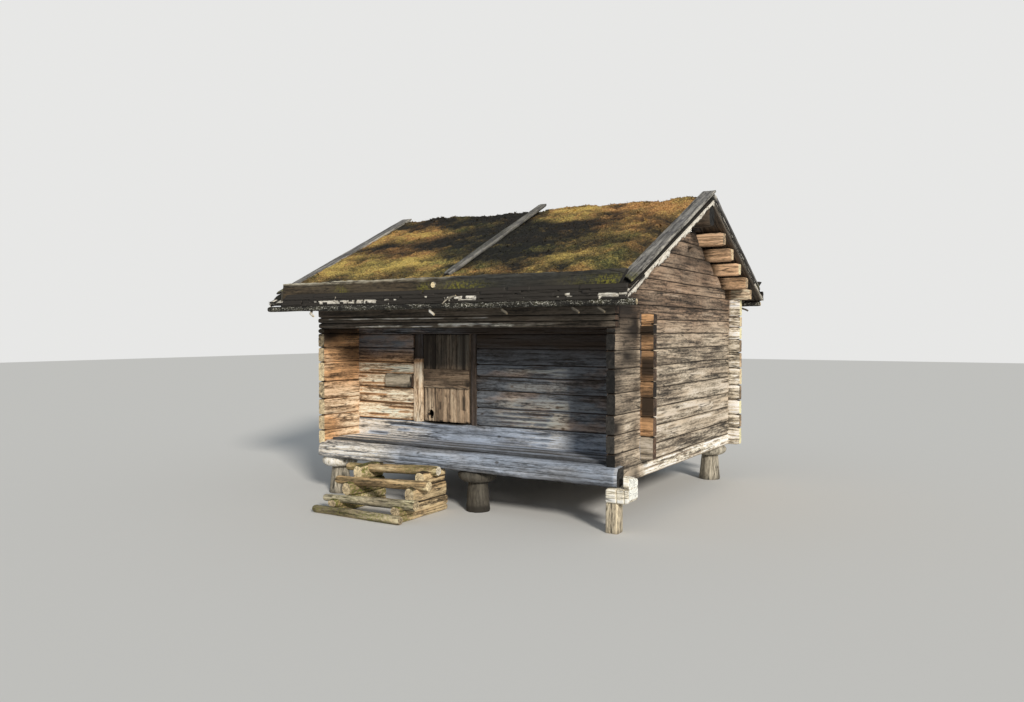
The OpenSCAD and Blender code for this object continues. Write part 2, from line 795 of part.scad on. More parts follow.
// A stack of side logs, notched for the treads; the uppermost is wedged below the porch beam
module step_stack(x) {
    shift = [0, 0, 0.1, 0.25]*side_log_w;
    tops = [for (i = [2, 1]) round(tread_under(i, x + side_log_w/2)) + tread_notch];
    levels = concat([0, side_log_low], tops, [sill_z]);
    low_start = tread_y(3) + tread_d/2;
    starts = [low_start, low_start, tread_y(1) - tread_d, tread_y(0) - 1.5*tread_d];
    for (i = [0:3])
        along_y(starts[i], porch_beam_out, x - shift[i]) translate([0, levels[i]])
            polygon(hewn(side_log_w, levels[i + 1] - levels[i],
                         min(0.22*side_log_w, 0.3*(levels[i + 1] - levels[i]))));
}

module step_sides() {
    color([0.58, 0.52, 0.42]) difference() {
        union() {
            step_stack(tread_mid(3) + tread_half(3) - tread_over - side_log_w);
            step_stack(tread_mid(3) - tread_half(3) + 3*tread_over);
        }
        treads(tread_d + 2*seat);
    }
}

translate([-origin_x, -origin_y, 0]) {
    porch_beam();
    left_wall();
    right_wall();
    back_wall();
    threshold_log();
    front_wall_left();
    front_wall_right();
    front_wall_over_door();
    left_jamb();
    right_jamb();
    door_leaf();
    lock_board();
    porch_header();
    porch_floor();
    room_floor();
    floor_joists();
    front_left_post();
    front_middle_post();
    front_right_post();
    back_posts();
    front_left_cap();
    front_middle_cap();
    front_right_cap();
    back_caps();
    ridge_purlin();
    front_purlins();
    back_purlins();
    front_roof_bark();
    back_roof_bark();
    front_turf();
    back_turf();
    front_eave_plank();
    back_eave_plank();
    front_eave_pole();
    back_eave_pole();
    eave_hooks();
    right_verge_boards();
    left_verge_boards();
    middle_roof_boards();
    step_treads();
    step_sides();
}
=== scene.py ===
"""Looks of a raised log granary with an open porch and a mossy turf roof.

Points are written as the building is measured: x from the middle of the front, y from the
front ends of the side walls, z from the ground, in metres.
"""
import math

import bpy
import numpy as np
from mathutils import Matrix, Vector


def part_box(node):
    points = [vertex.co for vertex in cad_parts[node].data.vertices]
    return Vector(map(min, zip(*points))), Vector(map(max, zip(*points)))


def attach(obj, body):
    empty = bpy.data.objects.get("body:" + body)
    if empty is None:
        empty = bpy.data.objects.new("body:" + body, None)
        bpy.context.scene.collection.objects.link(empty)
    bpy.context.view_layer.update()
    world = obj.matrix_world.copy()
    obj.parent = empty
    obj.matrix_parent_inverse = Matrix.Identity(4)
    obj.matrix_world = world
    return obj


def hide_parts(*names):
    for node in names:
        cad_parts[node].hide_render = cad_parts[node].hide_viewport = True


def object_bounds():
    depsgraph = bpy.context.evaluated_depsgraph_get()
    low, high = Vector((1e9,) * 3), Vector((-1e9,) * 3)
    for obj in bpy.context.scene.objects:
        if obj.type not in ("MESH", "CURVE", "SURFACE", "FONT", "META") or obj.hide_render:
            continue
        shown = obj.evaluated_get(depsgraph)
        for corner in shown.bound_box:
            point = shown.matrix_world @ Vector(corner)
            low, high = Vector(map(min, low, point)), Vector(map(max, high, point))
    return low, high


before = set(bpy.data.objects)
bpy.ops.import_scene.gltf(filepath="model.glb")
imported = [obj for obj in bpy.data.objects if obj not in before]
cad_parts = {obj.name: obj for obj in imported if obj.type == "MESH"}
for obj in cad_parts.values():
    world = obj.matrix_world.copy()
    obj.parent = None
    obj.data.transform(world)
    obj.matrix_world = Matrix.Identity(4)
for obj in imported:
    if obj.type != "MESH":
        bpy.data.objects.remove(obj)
cad_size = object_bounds()

left_lo, left_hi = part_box("left_wall")
right_lo, right_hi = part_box("right_wall")
SHIFT = np.array([(left_lo.x + right_hi.x) / 2, right_lo.y, 0.0])
HALF = (right_hi.x - left_lo.x) / 2
LOG_T = left_hi.x - left_lo.x
INSIDE = 0.0004
rng = np.random.default_rng(7)


def local_box(node):
    """A node's box, measured as the building is."""
    lo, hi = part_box(node)
    return np.array(lo) - SHIFT, np.array(hi) - SHIFT


# Heights and places that the roof and the walls share
bark_lo, bark_hi = local_box("front_roof_bark")
back_lo, back_hi = local_box("back_roof_bark")
EAVE_Y, RIDGE_Y, BACK_Y = bark_lo[1], bark_hi[1], back_hi[1]
X_LEFT, X_RIGHT = bark_lo[0], bark_hi[0]
RIDGE_Z = bark_hi[2]
DECK = 0.06
FALL = (RIDGE_Z - DECK - bark_lo[2]) / (RIDGE_Y - EAVE_Y)
BACK_FALL = (RIDGE_Z - DECK - back_lo[2]) / (BACK_Y - RIDGE_Y)
DEPTH = local_box("back_wall")[1][1]
FRONT_Y = local_box("threshold_log")[0][1]
LOW = local_box("right_wall")[0][2]
OVER = 0.17


def top_at(y):
    """Height of the bark's upper face."""
    return np.where(y < RIDGE_Y, RIDGE_Z - FALL * (RIDGE_Y - y), RIDGE_Z - BACK_FALL * (y - RIDGE_Y))


def under_at(y):
    """Height of the underside of the deck."""
    return top_at(y) - DECK


def unit(v):
    return np.clip(v, 0, 1)


def step_up(v, a, b):
    """From 0 at a to 1 at b, held beyond them."""
    return unit((v - a) / (b - a))


def points(x, y, z):
    """Points from three coordinates, each a number or an array."""
    return np.stack(np.broadcast_arrays(x, y, z), axis=-1)


def lattice(i, seed):
    """A number from -1 to 1 for each point with whole coordinates."""
    n = i[:, 0] * 73856093 ^ i[:, 1] * 19349663 ^ i[:, 2] * 83492791 ^ seed * 26544357
    n = (n ^ (n >> 13)) * 1274126177 & 0xFFFFFFFF
    n = (n ^ (n >> 16)) * 2246822519 & 0xFFFFFFFF
    return (n ^ (n >> 15)) / 2.0**31 - 1.0


def noise(p, scale, seed=0):
    """Smooth noise from -1 to 1 at the points p."""
    q = np.atleast_2d(p) * np.asarray(scale, float)
    low = np.floor(q).astype(np.int64)
    f = q - low
    f = f * f * (3 - 2 * f)
    out = np.zeros(len(q))
    for corner in np.ndindex(2, 2, 2):
        c = np.array(corner)
        out += np.prod(np.where(c, f, 1 - f), axis=1) * lattice(low + c, seed)
    return out


def wave(s, seed, size=1.0):
    """Smooth noise along a line."""
    p = points(np.atleast_1d(s) / size, 0.37 + seed, 0.61)
    return noise(p, 1.0, int(seed * 10)) * 0.7 + noise(p, 2.3, int(seed * 10) + 5) * 0.3


def spread(value, p):
    """A number, a function of the points, or an array, as one number for each point."""
    value = value(p) if callable(value) else value
    return np.broadcast_to(np.asarray(value, float).ravel(), len(p))


def over(base, shadow):
    """Dark marks laid over a shade."""
    return np.where(shadow > 0.05, np.maximum(base, shadow), base)


def placed(name, data):
    obj = bpy.data.objects.new(name, data)
    bpy.context.scene.collection.objects.link(obj)
    return obj


class Piece:
    """Collects the parts of one piece of the scene and makes its mesh.
    loc places the grain. mix holds tone, greyness, moss, and light to dark with 0.5 as plain."""

    def __init__(self, name):
        self.name = name
        self.verts, self.loc, self.mix = [], [], []
        self.faces, self.mats, self.smooth = [], [], []
        self.count = 0

    def add(self, verts, faces, loc, mix, mat=0, smooth=True):
        verts = np.asarray(verts, float)
        self.verts.append(verts + SHIFT)
        self.loc.append(np.broadcast_to(loc, verts.shape))
        self.mix.append(np.broadcast_to(mix, (len(verts), 4)))
        self.faces += [tuple(int(v) + self.count for v in f) for f in faces]
        self.mats += np.broadcast_to(mat, len(faces)).tolist()
        self.smooth += [smooth] * len(faces)
        self.count += len(verts)

    def make(self, slot, materials, *replaces, body="granary"):
        """The mesh, and the nodes of the construction that it is shown for. The argument slot is not used."""
        low, high = (np.array(v) for v in cad_size)
        verts = np.clip(np.concatenate(self.verts), low + INSIDE, high - INSIDE)
        mesh = bpy.data.meshes.new(self.name)
        mesh.from_pydata(verts.tolist(), [], self.faces)
        for name, kind, field, rows in (("loc", "FLOAT_VECTOR", "vector", self.loc),
                                        ("mix", "FLOAT_COLOR", "color", self.mix)):
            layer = mesh.attributes.new(name, kind, "POINT")
            layer.data.foreach_set(field, np.concatenate(rows).astype(np.float32).ravel())
        for m in materials:
            mesh.materials.append(m)
        mesh.polygons.foreach_set("material_index", np.array(self.mats, np.int32))
        mesh.polygons.foreach_set("use_smooth", np.array(self.smooth, bool))
        mesh.validate()
        mesh.update()
        obj = placed(self.name, mesh)
        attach(obj, body)
        if replaces:
            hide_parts(*replaces)


def grid_faces(n, m, closed=True):
    """Quads between n rings of m points."""
    faces = []
    for i in range(n - 1):
        for j in range(m if closed else m - 1):
            k = (j + 1) % m
            faces.append((i * m + j, (i + 1) * m + j, (i + 1) * m + k, i * m + k))
    return faces


# How a rod's outline is turned: upright with its face to the front, a round post, or lying front to back
UPRIGHT = {"across": (1, 0, 0), "up": (0, -1, 0)}
POST = {"across": (1, 0, 0), "up": (0, 1, 0)}
INWARDS = {"across": (1, 0, 0), "up": (0, 0, 1)}
# How far out the inner ring of an end face lies
INNER_RING = 0.55


def sweep(piece, centre, section, across=(0, -1, 0), up=(0, 0, 1), seed=1, tone=0.5, grey=0.5, moss=0.0,
          dark=0.0, rough=0.003, bevel=0.006, mats=(0, 1, 1), hold=(), slide=None):
    """A rod of hewn, round or sawn wood: outlines (n, m, 2) carried along a line.
    dark runs from -1, pale, to 1, black: pale stands for bleached wood and also for painted sunlight
    and highlights, black for dark joints and cracks and also for painted shade. The points named by
    hold stay where they are, and slide moves points along the rod."""
    centre = np.asarray(centre, float)
    n = len(centre)
    across, up = (np.broadcast_to(np.asarray(v, float), (n, 3)) for v in (across, up))
    section = np.broadcast_to(np.asarray(section, float), (n,) + np.shape(section)[-2:]).copy()
    m = section.shape[1]
    travel = centre[-1] - centre[0]
    travel = travel / np.linalg.norm(travel)
    x, y = section[n // 2].T
    turns = np.sign(np.sum(x * np.roll(y, -1) - np.roll(x, -1) * y))
    along = turns * np.sign(np.dot(np.cross(across[0], up[0]), travel))
    length = np.concatenate([[0], np.cumsum(np.linalg.norm(np.diff(centre, axis=0), axis=1))])
    flat = section.reshape(-1, 2)
    loc = points(np.repeat(length, m), flat[:, 0], flat[:, 1]) + seed * np.array([7.31, 3.17, 5.77])
    d = 0.55 * noise(loc, (3.0, 9.0, 9.0), 3) + 0.3 * noise(loc, (9.0, 30.0, 30.0), 7)
    d += 0.25 * noise(loc, (5.0, 70.0, 70.0), 11)
    free = np.ones(m)
    free[list(hold)] = 0.0
    tangent = np.roll(section, -1, axis=1) - np.roll(section, 1, axis=1)
    normal = np.stack([tangent[..., 1], -tangent[..., 0]], axis=-1) * turns
    normal = normal / np.maximum(np.linalg.norm(normal, axis=-1, keepdims=True), 1e-9)
    ring = section + normal * (d.reshape(n, m) * free * rough * 1.6)[..., None]
    middle = section.mean(axis=1, keepdims=True)
    for end in (0, n - 1):
        size = np.maximum(np.ptp(ring[end], axis=0), 1e-6)
        ring[end] = middle[end] + (ring[end] - middle[end]) * (1 - 2 * bevel / size)
    pts = centre[:, None] + across[:, None] * ring[..., :1] + up[:, None] * ring[..., 1:]
    if slide is not None:
        pts = pts + travel * slide[..., None]
    verts = pts.reshape(-1, 3)
    order = -1 if along > 0 else 1
    mix = np.stack([spread(tone, verts), spread(grey, verts), spread(moss, verts),
                    0.5 + 0.5 * np.clip(spread(dark, verts), -1, 1)], axis=1)
    piece.add(verts, [f[::order] for f in grid_faces(n, m)], loc, mix, mats[0])
    fan = []
    for j in range(m):
        k = (j + 1) % m
        fan += [(j, k, m + k, m + j), (m + j, m + k, 2 * m)]
    for end, turn, mat in ((0, order, mats[1]), (n - 1, -order, mats[2])):
        rim = pts[end]
        mid = rim.mean(axis=0)
        rise = noise(rim + seed, 40.0, 5) * rough
        inner = mid + (rim - mid) * INNER_RING + travel * rise[:, None]
        # the place inside the end face is kept, so that year rings can be drawn
        ab = section[end] - middle[end]
        ab = np.concatenate([ab, ab * INNER_RING, [[0, 0]]])
        piece.add(np.concatenate([rim, inner, [mid]]), [f[::turn] for f in fan],
                  points(seed, ab[:, 0], ab[:, 1]), mix.reshape(n, m, 4)[end].mean(axis=0), mat, smooth=False)


def oval(rx, ry, m=20, power=2.0):
    """An outline between round (power 2) and square (a higher power)."""
    t = np.linspace(0, 2 * math.pi, m, endpoint=False)
    c, s = np.cos(t), np.sin(t)
    return np.stack([rx * np.sign(c) * np.abs(c) ** (2 / power),
                     ry * np.sign(s) * np.abs(s) ** (2 / power)], axis=1)


def circles(size, m):
    """Round outlines, one for each size."""
    return oval(1, 1, m)[None] * size[:, None, None]


def plank(w, t, r=0.006, side=5):
    """Outline of a sawn or split plank: the first number is across its width."""
    v = np.linspace(-w / 2 + r, w / 2 - r, side)
    low, high = [(a, 0.0) for a in v], [(a, t) for a in v[::-1]]
    return np.array(low + [(w / 2, r), (w / 2, t - r)] + high + [(-w / 2, t - r), (-w / 2, r)])


def repeated(base, n):
    return np.repeat(base[None], n, axis=0)


# Columns of a log's outer face at its joints: height from the joint, depth, darkness
EDGE = ((0.0, -0.018, 1.0), (0.004, -0.005, 0.75), (0.01, 0.0, 0.12), (0.026, 0.003, 0.0))
BULGE = 0.006
LOG_STEP = 0.045


def log(piece, a, b, out, low, high, seed, tone=None, grey=0.5, dark=0.0, depth=0.014,
        cracks=(0.26, 0.5, 0.74), mats=(0, 1, 1), ends=None, pocket=None, rough=0.004, inner=None):
    """A hewn log of a wall between the points a and b (x, y), with its face turned to out.
    low and high give the joints along it, ends gives where it starts and stops at a height,
    pocket is a slot in its face, and inner is the material of its inner face."""
    a, b = np.array(a, float), np.array(b, float)
    axis = int(abs(b[1] - a[1]) > abs(b[0] - a[0]))
    run = np.linspace(a[axis], b[axis], max(6, int(np.linalg.norm(b - a) / LOG_STEP)))
    if pocket:
        cut = [pocket[0] - 0.002, pocket[0], pocket[1], pocket[1] + 0.002]
        run = np.sort(np.concatenate([run[np.abs(run - sum(pocket[:2]) / 2) > 0.1], cut]))
    n = len(run)
    share = (run - a[axis]) / (b[axis] - a[axis])
    centre = points(*(a + (b - a) * share[:, None]).T, 0.0)
    zl, zh = spread(low, run), spread(high, run)
    h = zh - zl
    half = LOG_T / 2
    cols = [(zl + e, half + p, k) for e, p, k in EDGE]
    for i, c in enumerate(cracks):
        level = zl + h * (c + 0.05 * wave(run, seed * 1.9 + i * 3.3, 0.8))
        opened = unit(wave(run, seed * 1.3 + i * 5.7, 0.45) * 2.4 - 0.1)
        face = half + BULGE * (0.6 + 0.8 * wave(run, seed + i * 2.1, 0.6))
        cols += [(level - 0.005, face, 0.4 * opened), (level, face - depth * opened, opened),
                 (level + 0.005, face - 0.002 * opened, 0.4 * opened)]
        if i < len(cracks) - 1:
            cols.append((zl + h * (c + cracks[i + 1]) / 2, half + BULGE, 0.0))
    if pocket:
        deep = (run >= pocket[0]) & (run <= pocket[1])
        for z, k in ((pocket[2], 0), (pocket[2] + 0.001, 1), (pocket[3] - 0.001, 1), (pocket[3], 0)):
            cols.append((z + 0 * run, half + BULGE - k * deep * (LOG_T + BULGE - 0.012), k * deep))
    cols += [(zh - e, half + p, k) for e, p, k in EDGE[::-1]]
    outer = len(cols)
    cols += [(zh, 0.014 - half, 1.0)]
    cols += [(zl + h * v, -half - 0.004 * (v in (0.33, 0.66)), 0.0) for v in (0.96, 0.66, 0.33, 0.04)]
    cols += [(zl, 0.014 - half, 1.0)]
    section = np.zeros((n, len(cols), 2))
    shadow = np.zeros((n, len(cols)))
    for j, (z, p, k) in enumerate(cols):
        section[:, j, 1], section[:, j, 0], shadow[:, j] = z, p, k
    section[..., 0] += (0.005 * wave(run, seed + 40.5, 0.9))[:, None] + rng.uniform(-0.004, 0.004)
    slide = None
    if ends:
        face = np.arange(len(cols)) < outer
        start, stop = ends(section[..., 1], np.broadcast_to(face, section.shape[:2]))
        slide = start + share[:, None] * (stop - start) - run[:, None]
    tone = rng.uniform(0.2, 0.85) if tone is None else tone

    def darkness(p):
        shade = spread(dark, p)
        return np.maximum(shadow.ravel(), shade) + np.minimum(shade, 0) * (shadow.ravel() < 0.1)

    if inner is not None:
        face = np.where(np.arange(len(cols)) < outer - 1, mats[0], inner)
        mats = (np.tile(face, n - 1),) + tuple(mats[1:])
    sweep(piece, centre, section, out, seed=seed, tone=tone, grey=grey, dark=darkness, mats=mats, rough=rough,
          bevel=0.01, hold=(0, outer - 1, outer, outer + 5), slide=slide)


def joint(k, z, amount=0.01):
    """A joint between two courses, a little uneven along the wall."""
    return lambda s: z + amount * wave(s, 3.1 * k + 0.7, 1.4)


class Shader:
    """A node material, written as a chain of calls."""

    def __init__(self, name):
        self.mat = bpy.data.materials.new(name)
        self.mat.use_nodes = True
        self.tree = self.mat.node_tree
        self.tree.nodes.clear()

    def node(self, kind, out=0, **values):
        """Adds a node. A name with _ in front is a setting, i0, i1 and so on are inputs by number."""
        n = self.tree.nodes.new("ShaderNode" + kind)
        for key, value in values.items():
            if key[0] == "_":
                setattr(n, key[1:], value)
                continue
            name = key.replace("_", " ")
            socket = n.inputs[int(name[1:])] if name[0] == "i" and name[1:].isdigit() else n.inputs[name]
            if isinstance(value, bpy.types.NodeSocket):
                self.tree.links.new(value, socket)
            else:
                socket.default_value = value
        return n if out is None else n.outputs[out]

    def math(self, op, a, b=0.0, c=0.0, clamp=False):
        return self.node("Math", _operation=op, _use_clamp=clamp, i0=a, i1=b, i2=c)

    def total(self, base, *terms, clamp=False):
        """base plus each value less a half, times its weight."""
        base -= 0.5 * sum(k for _, k in terms)
        for i, (value, k) in enumerate(terms):
            base = self.math("MULTIPLY_ADD", value, k, base, clamp=clamp and i == len(terms) - 1)
        return base

    def speckle(self, at, scale, detail, rough=0.5, distort=0.0):
        return self.node("TexNoise", Vector=at, Scale=scale, Detail=detail, Roughness=rough,
                         Distortion=distort)

    def stretch(self, at, along, across):
        return self.node("VectorMath", _operation="MULTIPLY", i0=at, i1=(along, across, across))

    def grain(self, at, along, across, detail=4.0, rough=0.6, distort=0.0):
        return self.speckle(self.stretch(at, along, across), 1.0, detail, rough, distort)

    def ramp(self, fac, *stops):
        n = self.node("ValToRGB", out=None, Fac=fac)
        e = n.color_ramp.elements
        while len(e) < len(stops):
            e.new(0.5)
        for item, (pos, col) in zip(e, stops):
            item.position = pos
            item.color = tuple(np.broadcast_to(col, 3)) + (1.0,)
        return n.outputs["Color"]

    def blend(self, fac, a, b, mode="MIX"):
        colours = [v if isinstance(v, bpy.types.NodeSocket) else (*v, 1.0) for v in (a, b)]
        return self.node("Mix", out=2, _data_type="RGBA", _blend_type=mode, i0=fac, i6=colours[0],
                         i7=colours[1])

    def attributes(self):
        """The place in the grain, and tone, greyness, moss and darkness."""
        at = self.node("Attribute", out="Vector", _attribute_name="loc")
        mix = self.node("Attribute", out=None, _attribute_name="mix")
        parts = self.node("SeparateXYZ", out=None, Vector=mix.outputs["Color"])
        return (at,) + tuple(parts.outputs) + (mix.outputs["Alpha"],)

    def surface(self, kind, **values):
        shader = self.node(kind, **values)
        self.tree.links.new(shader, self.node("OutputMaterial", out=None).inputs["Surface"])
        return self.mat

    def finish(self, colour, rough, height, distance):
        bump = self.node("Bump", Strength=1.0, Distance=distance, Height=height)
        return self.surface("BsdfPrincipled", Base_Color=colour, Roughness=rough, Normal=bump)


def shade(colour, k):
    return tuple(min(1.0, c * k) for c in colour)


def tones(s, level, colour):
    stops = ((0.08, 0.1), (0.34, 0.5), (0.56, 1.05), (0.86, 1.75))
    return s.ramp(level, *((at, shade(colour, k)) for at, k in stops))


def wood(name, brown, grey, pale=(0.72, 0.6, 0.44), scale=1.0, cracks=0.5, knots=0.35, order=None,
         moss=(0.17, 0.16, 0.035), blots=None, contrast=1.0):
    """Weathered wood. Its grain follows the attribute loc. For a carried-over node, order
    says which axes run along and across the grain."""
    s = Shader(name)
    if order is None:
        at, tone, silver, green, value = s.attributes()
    else:
        sep = s.node("SeparateXYZ", out=None, Vector=s.node("TexCoord", out="Object")).outputs
        at = s.node("CombineXYZ", X=sep[order[0]], Y=sep[order[1]], Z=sep[order[2]])
        tone = s.grain(at, 1.7, 1.7, 1.0)
        silver, green, value = 0.6, 0.0, 0.5
    streak = s.grain(at, 1.1 * scale, 23 * scale, 7.0, 0.68, 0.5)
    fibre = s.grain(at, 6.0, 140.0, 3.0)
    cloud = s.grain(at, 0.9, 3.4, 5.0, 0.64)
    grit = s.grain(at, 13.0, 48.0, 4.0, 0.75)
    level = s.total(0.54, (streak, 1.9 * contrast), (fibre, 0.55), (tone, 0.4), (cloud, 0.9 * contrast),
                    (grit, 1.1 * contrast))
    edge = s.node("TexVoronoi", _feature="DISTANCE_TO_EDGE", Vector=s.stretch(at, 1.3, 21.0), Scale=1.0)
    broken = s.ramp(s.grain(at, 1.9, 8.0, 2.0), (0.5, 0.0), (0.6, 1.0))
    crack = s.math("SUBTRACT", 1.0, s.math("DIVIDE", edge, 0.075 * cracks + 0.001), clamp=True)
    crack = s.math("MULTIPLY", crack, broken)
    cell = s.node("TexVoronoi", out=None, Vector=s.stretch(at, 2.6, 4.6), Scale=1.0).outputs
    pick = s.node("SeparateXYZ", Vector=cell["Color"])
    knot = s.math("MULTIPLY", s.ramp(cell["Distance"], (0.05, 1.0), (0.105, 0.0)),
                  s.math("GREATER_THAN", pick, 1.0 - knots))
    amount = s.total(0.5, (silver, 1.0), (cloud, 1.7), clamp=True)
    colour = s.blend(amount, tones(s, level, brown), tones(s, level, grey))
    if blots:
        spot = s.ramp(s.grain(at, 5.0, 9.0, 4.0, 0.65), (0.54, 0.0), (0.64, 0.75))
        colour = s.blend(spot, colour, blots)
    # dark below a half turns the wood pale, for bleaching and for painted sunlight and highlights; dark above
    # a half turns it black, for joints and cracks and for painted shade
    pale_and_painted_light = s.math("MULTIPLY", s.math("SUBTRACT", 0.5, value), 2.0, clamp=True)
    colour = s.blend(s.math("MULTIPLY", pale_and_painted_light, s.ramp(level, (0.25, 0.25), (0.6, 1.0))), colour,
                     tones(s, level, pale))
    colour = s.blend(s.math("MULTIPLY", knot, 0.75), colour, shade(brown, 0.15))
    darkened = s.math("MULTIPLY", s.math("SUBTRACT", value, 0.5), 2.0, clamp=True)
    colour = s.blend(s.math("MAXIMUM", s.math("MULTIPLY", crack, 0.85), darkened), colour, shade(brown, 0.07))
    speck = s.speckle(at, 36.0, 4.0, 0.7)
    cover = s.math("MULTIPLY", green, s.ramp(speck, (0.42, 0.0), (0.6, 1.4)), clamp=True)
    fleck = s.speckle(at, 85.0, 2.0, 0.7)
    colour = s.blend(cover, colour, s.ramp(fleck, (0.35, shade(moss, 0.45)), (0.65, shade(moss, 1.6))))
    height = s.total(0.0, (streak, 1.0), (fibre, 0.3), (crack, -1.4), (cover, 0.5))
    return s.finish(colour, 0.88, height, 0.004)


def end_grain(name, *colour):
    """The cut end of a log: year rings and splits that run out from the pith."""
    s = Shader(name)
    at, tone, _, _, value = s.attributes()
    lot, a, b = s.node("SeparateXYZ", out=None, Vector=at).outputs
    flat = s.node("CombineXYZ", X=a, Y=b, Z=lot)
    radius = s.math("SQRT", s.math("MULTIPLY_ADD", a, a, s.math("MULTIPLY", b, b)))
    warp = s.speckle(flat, 9.0, 3.0)
    rings = s.math("SINE", s.math("MULTIPLY_ADD", radius, 620.0, s.math("MULTIPLY", warp, 9.0)))
    turn = s.node("CombineXYZ", X=s.math("MULTIPLY", s.math("ARCTAN2", b, a), 1.6),
                  Y=s.math("MULTIPLY", radius, 4.0), Z=lot)
    cell = s.node("TexVoronoi", _feature="DISTANCE_TO_EDGE", Vector=turn, Scale=1.6)
    gap = s.math("SUBTRACT", 1.0, s.math("DIVIDE", cell, 0.035), clamp=True)
    coarse = s.speckle(flat, 15.0, 5.0, 0.65)
    level = s.total(0.5, (rings, 0.07), (coarse, 1.6), (tone, 1.3))
    col = tones(s, s.math("SUBTRACT", level, s.math("MULTIPLY", s.math("SUBTRACT", value, 0.5), 0.6)), colour)
    col = s.blend(s.math("MULTIPLY", gap, 0.9), col, shade(colour, 0.06))
    return s.finish(col, 0.9, s.total(0.0, (rings, 0.12), (gap, -1.0)), 0.004)


PALE = (0.84, 0.68, 0.48)
M_GABLE = wood("hewn_gable", (0.25, 0.165, 0.108), (0.385, 0.315, 0.235), (0.86, 0.76, 0.59), cracks=0.9,
               contrast=1.3)
# hewn_front: the warm brown is the wood's own colour; the dark blue-grey is a painted shade colour for the
# shaded right and top of the front wall, and PALE paints its sunlit patches
M_FRONT = wood("hewn_front", (0.52, 0.295, 0.145), (0.112, 0.122, 0.138), PALE, cracks=0.7, contrast=1.25)
M_ENDS = end_grain("log_ends", 0.12, 0.073, 0.046)
# near black: weathered end grain darkened as painted shade, for ends that stand in shade
M_ENDS_GREY = end_grain("weathered_ends_and_painted_shade", 0.034, 0.03, 0.026)
# porch_grey: its blue grey is a painted shade colour, and its pale tone paints the sunlit parts
M_PORCH = wood("porch_grey", (0.3, 0.25, 0.19), (0.27, 0.305, 0.368), (0.84, 0.74, 0.6), cracks=0.7)
# header_brown: its near-white pale tone paints the highlights along the header's edges
M_HEADER = wood("header_brown", (0.13, 0.09, 0.058), (0.125, 0.11, 0.088), (0.97, 0.9, 0.76), cracks=0.8)
# door_boards: its dark grey paints the shade on the upper part of the leaf
M_DOOR = wood("door_boards", (0.34, 0.235, 0.15), (0.1, 0.088, 0.07), (0.66, 0.54, 0.4), 1.2, 0.9)
M_PURLIN = wood("purlin_orange", (0.54, 0.335, 0.185), (0.55, 0.39, 0.27), cracks=0.9, knots=0.15)
M_PURLIN_END = end_grain("purlin_ends", 0.74, 0.53, 0.33)
# eave_dark: its near-black grey is partly the wood's own colour and partly painted shade
M_EAVE = wood("eave_dark", (0.08, 0.056, 0.03), (0.034, 0.034, 0.03), (0.34, 0.31, 0.24), cracks=0.6,
              moss=(0.16, 0.145, 0.02))
M_BOARD = wood("roof_boards", (0.17, 0.152, 0.13), (0.165, 0.158, 0.149), (0.42, 0.39, 0.33), cracks=0.3,
               blots=(0.07, 0.066, 0.08), contrast=1.15)
M_POST = wood("post_grey", (0.34, 0.28, 0.2), (0.34, 0.31, 0.25), (0.8, 0.72, 0.58), cracks=0.8)
M_CREAM = wood("post_cream", (0.6, 0.5, 0.35), (0.6, 0.53, 0.41), (0.88, 0.81, 0.66), cracks=0.6,
               knots=0.1)
M_STEP = wood("step_logs", (0.4, 0.27, 0.135), (0.34, 0.3, 0.21), (0.76, 0.62, 0.38), cracks=0.7,
              moss=(0.17, 0.17, 0.035), contrast=1.6)
M_STEP_END = end_grain("step_ends", 0.6, 0.47, 0.29)
M_CREAM_END = end_grain("cream_ends", 0.8, 0.7, 0.53)
M_FLOOR = wood("floor_boards", (0.26, 0.19, 0.12), (0.26, 0.24, 0.21), order=(0, 1, 2))
M_JOIST = wood("floor_joists", (0.16, 0.12, 0.08), (0.18, 0.155, 0.13), order=(1, 0, 2))
M_DECK = wood("deck_boards", (0.08, 0.06, 0.04), (0.09, 0.075, 0.062))
WALL_LOOK = [M_GABLE, M_ENDS, M_ENDS_GREY, M_FRONT]
POST_LOOK = [M_POST, M_ENDS]
FRONT_WOOD = [M_FRONT, M_ENDS]
# Courses of the walls: joints from the sill to the wall plate, and on up the gables
WALL_TOP = 2.79
SHARES = [0, 0.077, 0.161, 0.257, 0.357, 0.466, 0.589, 0.68, 0.767, 0.845, 0.92, 1]
WALL_Z = [LOW + s * (WALL_TOP - LOW) for s in SHARES]
PURLIN_T = 0.15
PURLIN_Y = [RIDGE_Y + 0.48 + k * 0.375 for k in range(4)]
PURLIN_Z = [float(under_at(y + PURLIN_T)) - 0.185 for y in PURLIN_Y]
PURLIN_REACH = 0.32
RIDGE_LOW = local_box("ridge_purlin")[0][2]
GABLE_Z = WALL_Z + PURLIN_Z[::-1] + [RIDGE_LOW, float(under_at(RIDGE_Y))]
HEADER_LOW = local_box("porch_header")[0][2]
PLATE_Y = DEPTH - LOG_T
# The slot high in the gable: from, to, low, high, and a height in the course that holds it
VENT = (2.355, 2.577, 3.379, 3.456)
VENT_COURSE = 3.4


def faces_porch(p):
    return (np.abs(p[:, 0]) < HALF - LOG_T / 2) & (p[:, 1] < FRONT_Y)


def crossing(p):
    """The ends of the cross walls' logs, outside the side walls."""
    return np.abs(p[:, 0]) > HALF + 0.004


def gable_grey(p):
    """Brown under the roof, silver lower down, and warm on the side that faces the porch."""
    silver = step_up(p[:, 2] + 0.12 * noise(p, 1.5, 5), 2.62, 2.1)
    return np.where(faces_porch(p), -0.2, 0.1 + 0.85 * silver + 0.12 * noise(p, 1.2, 4))


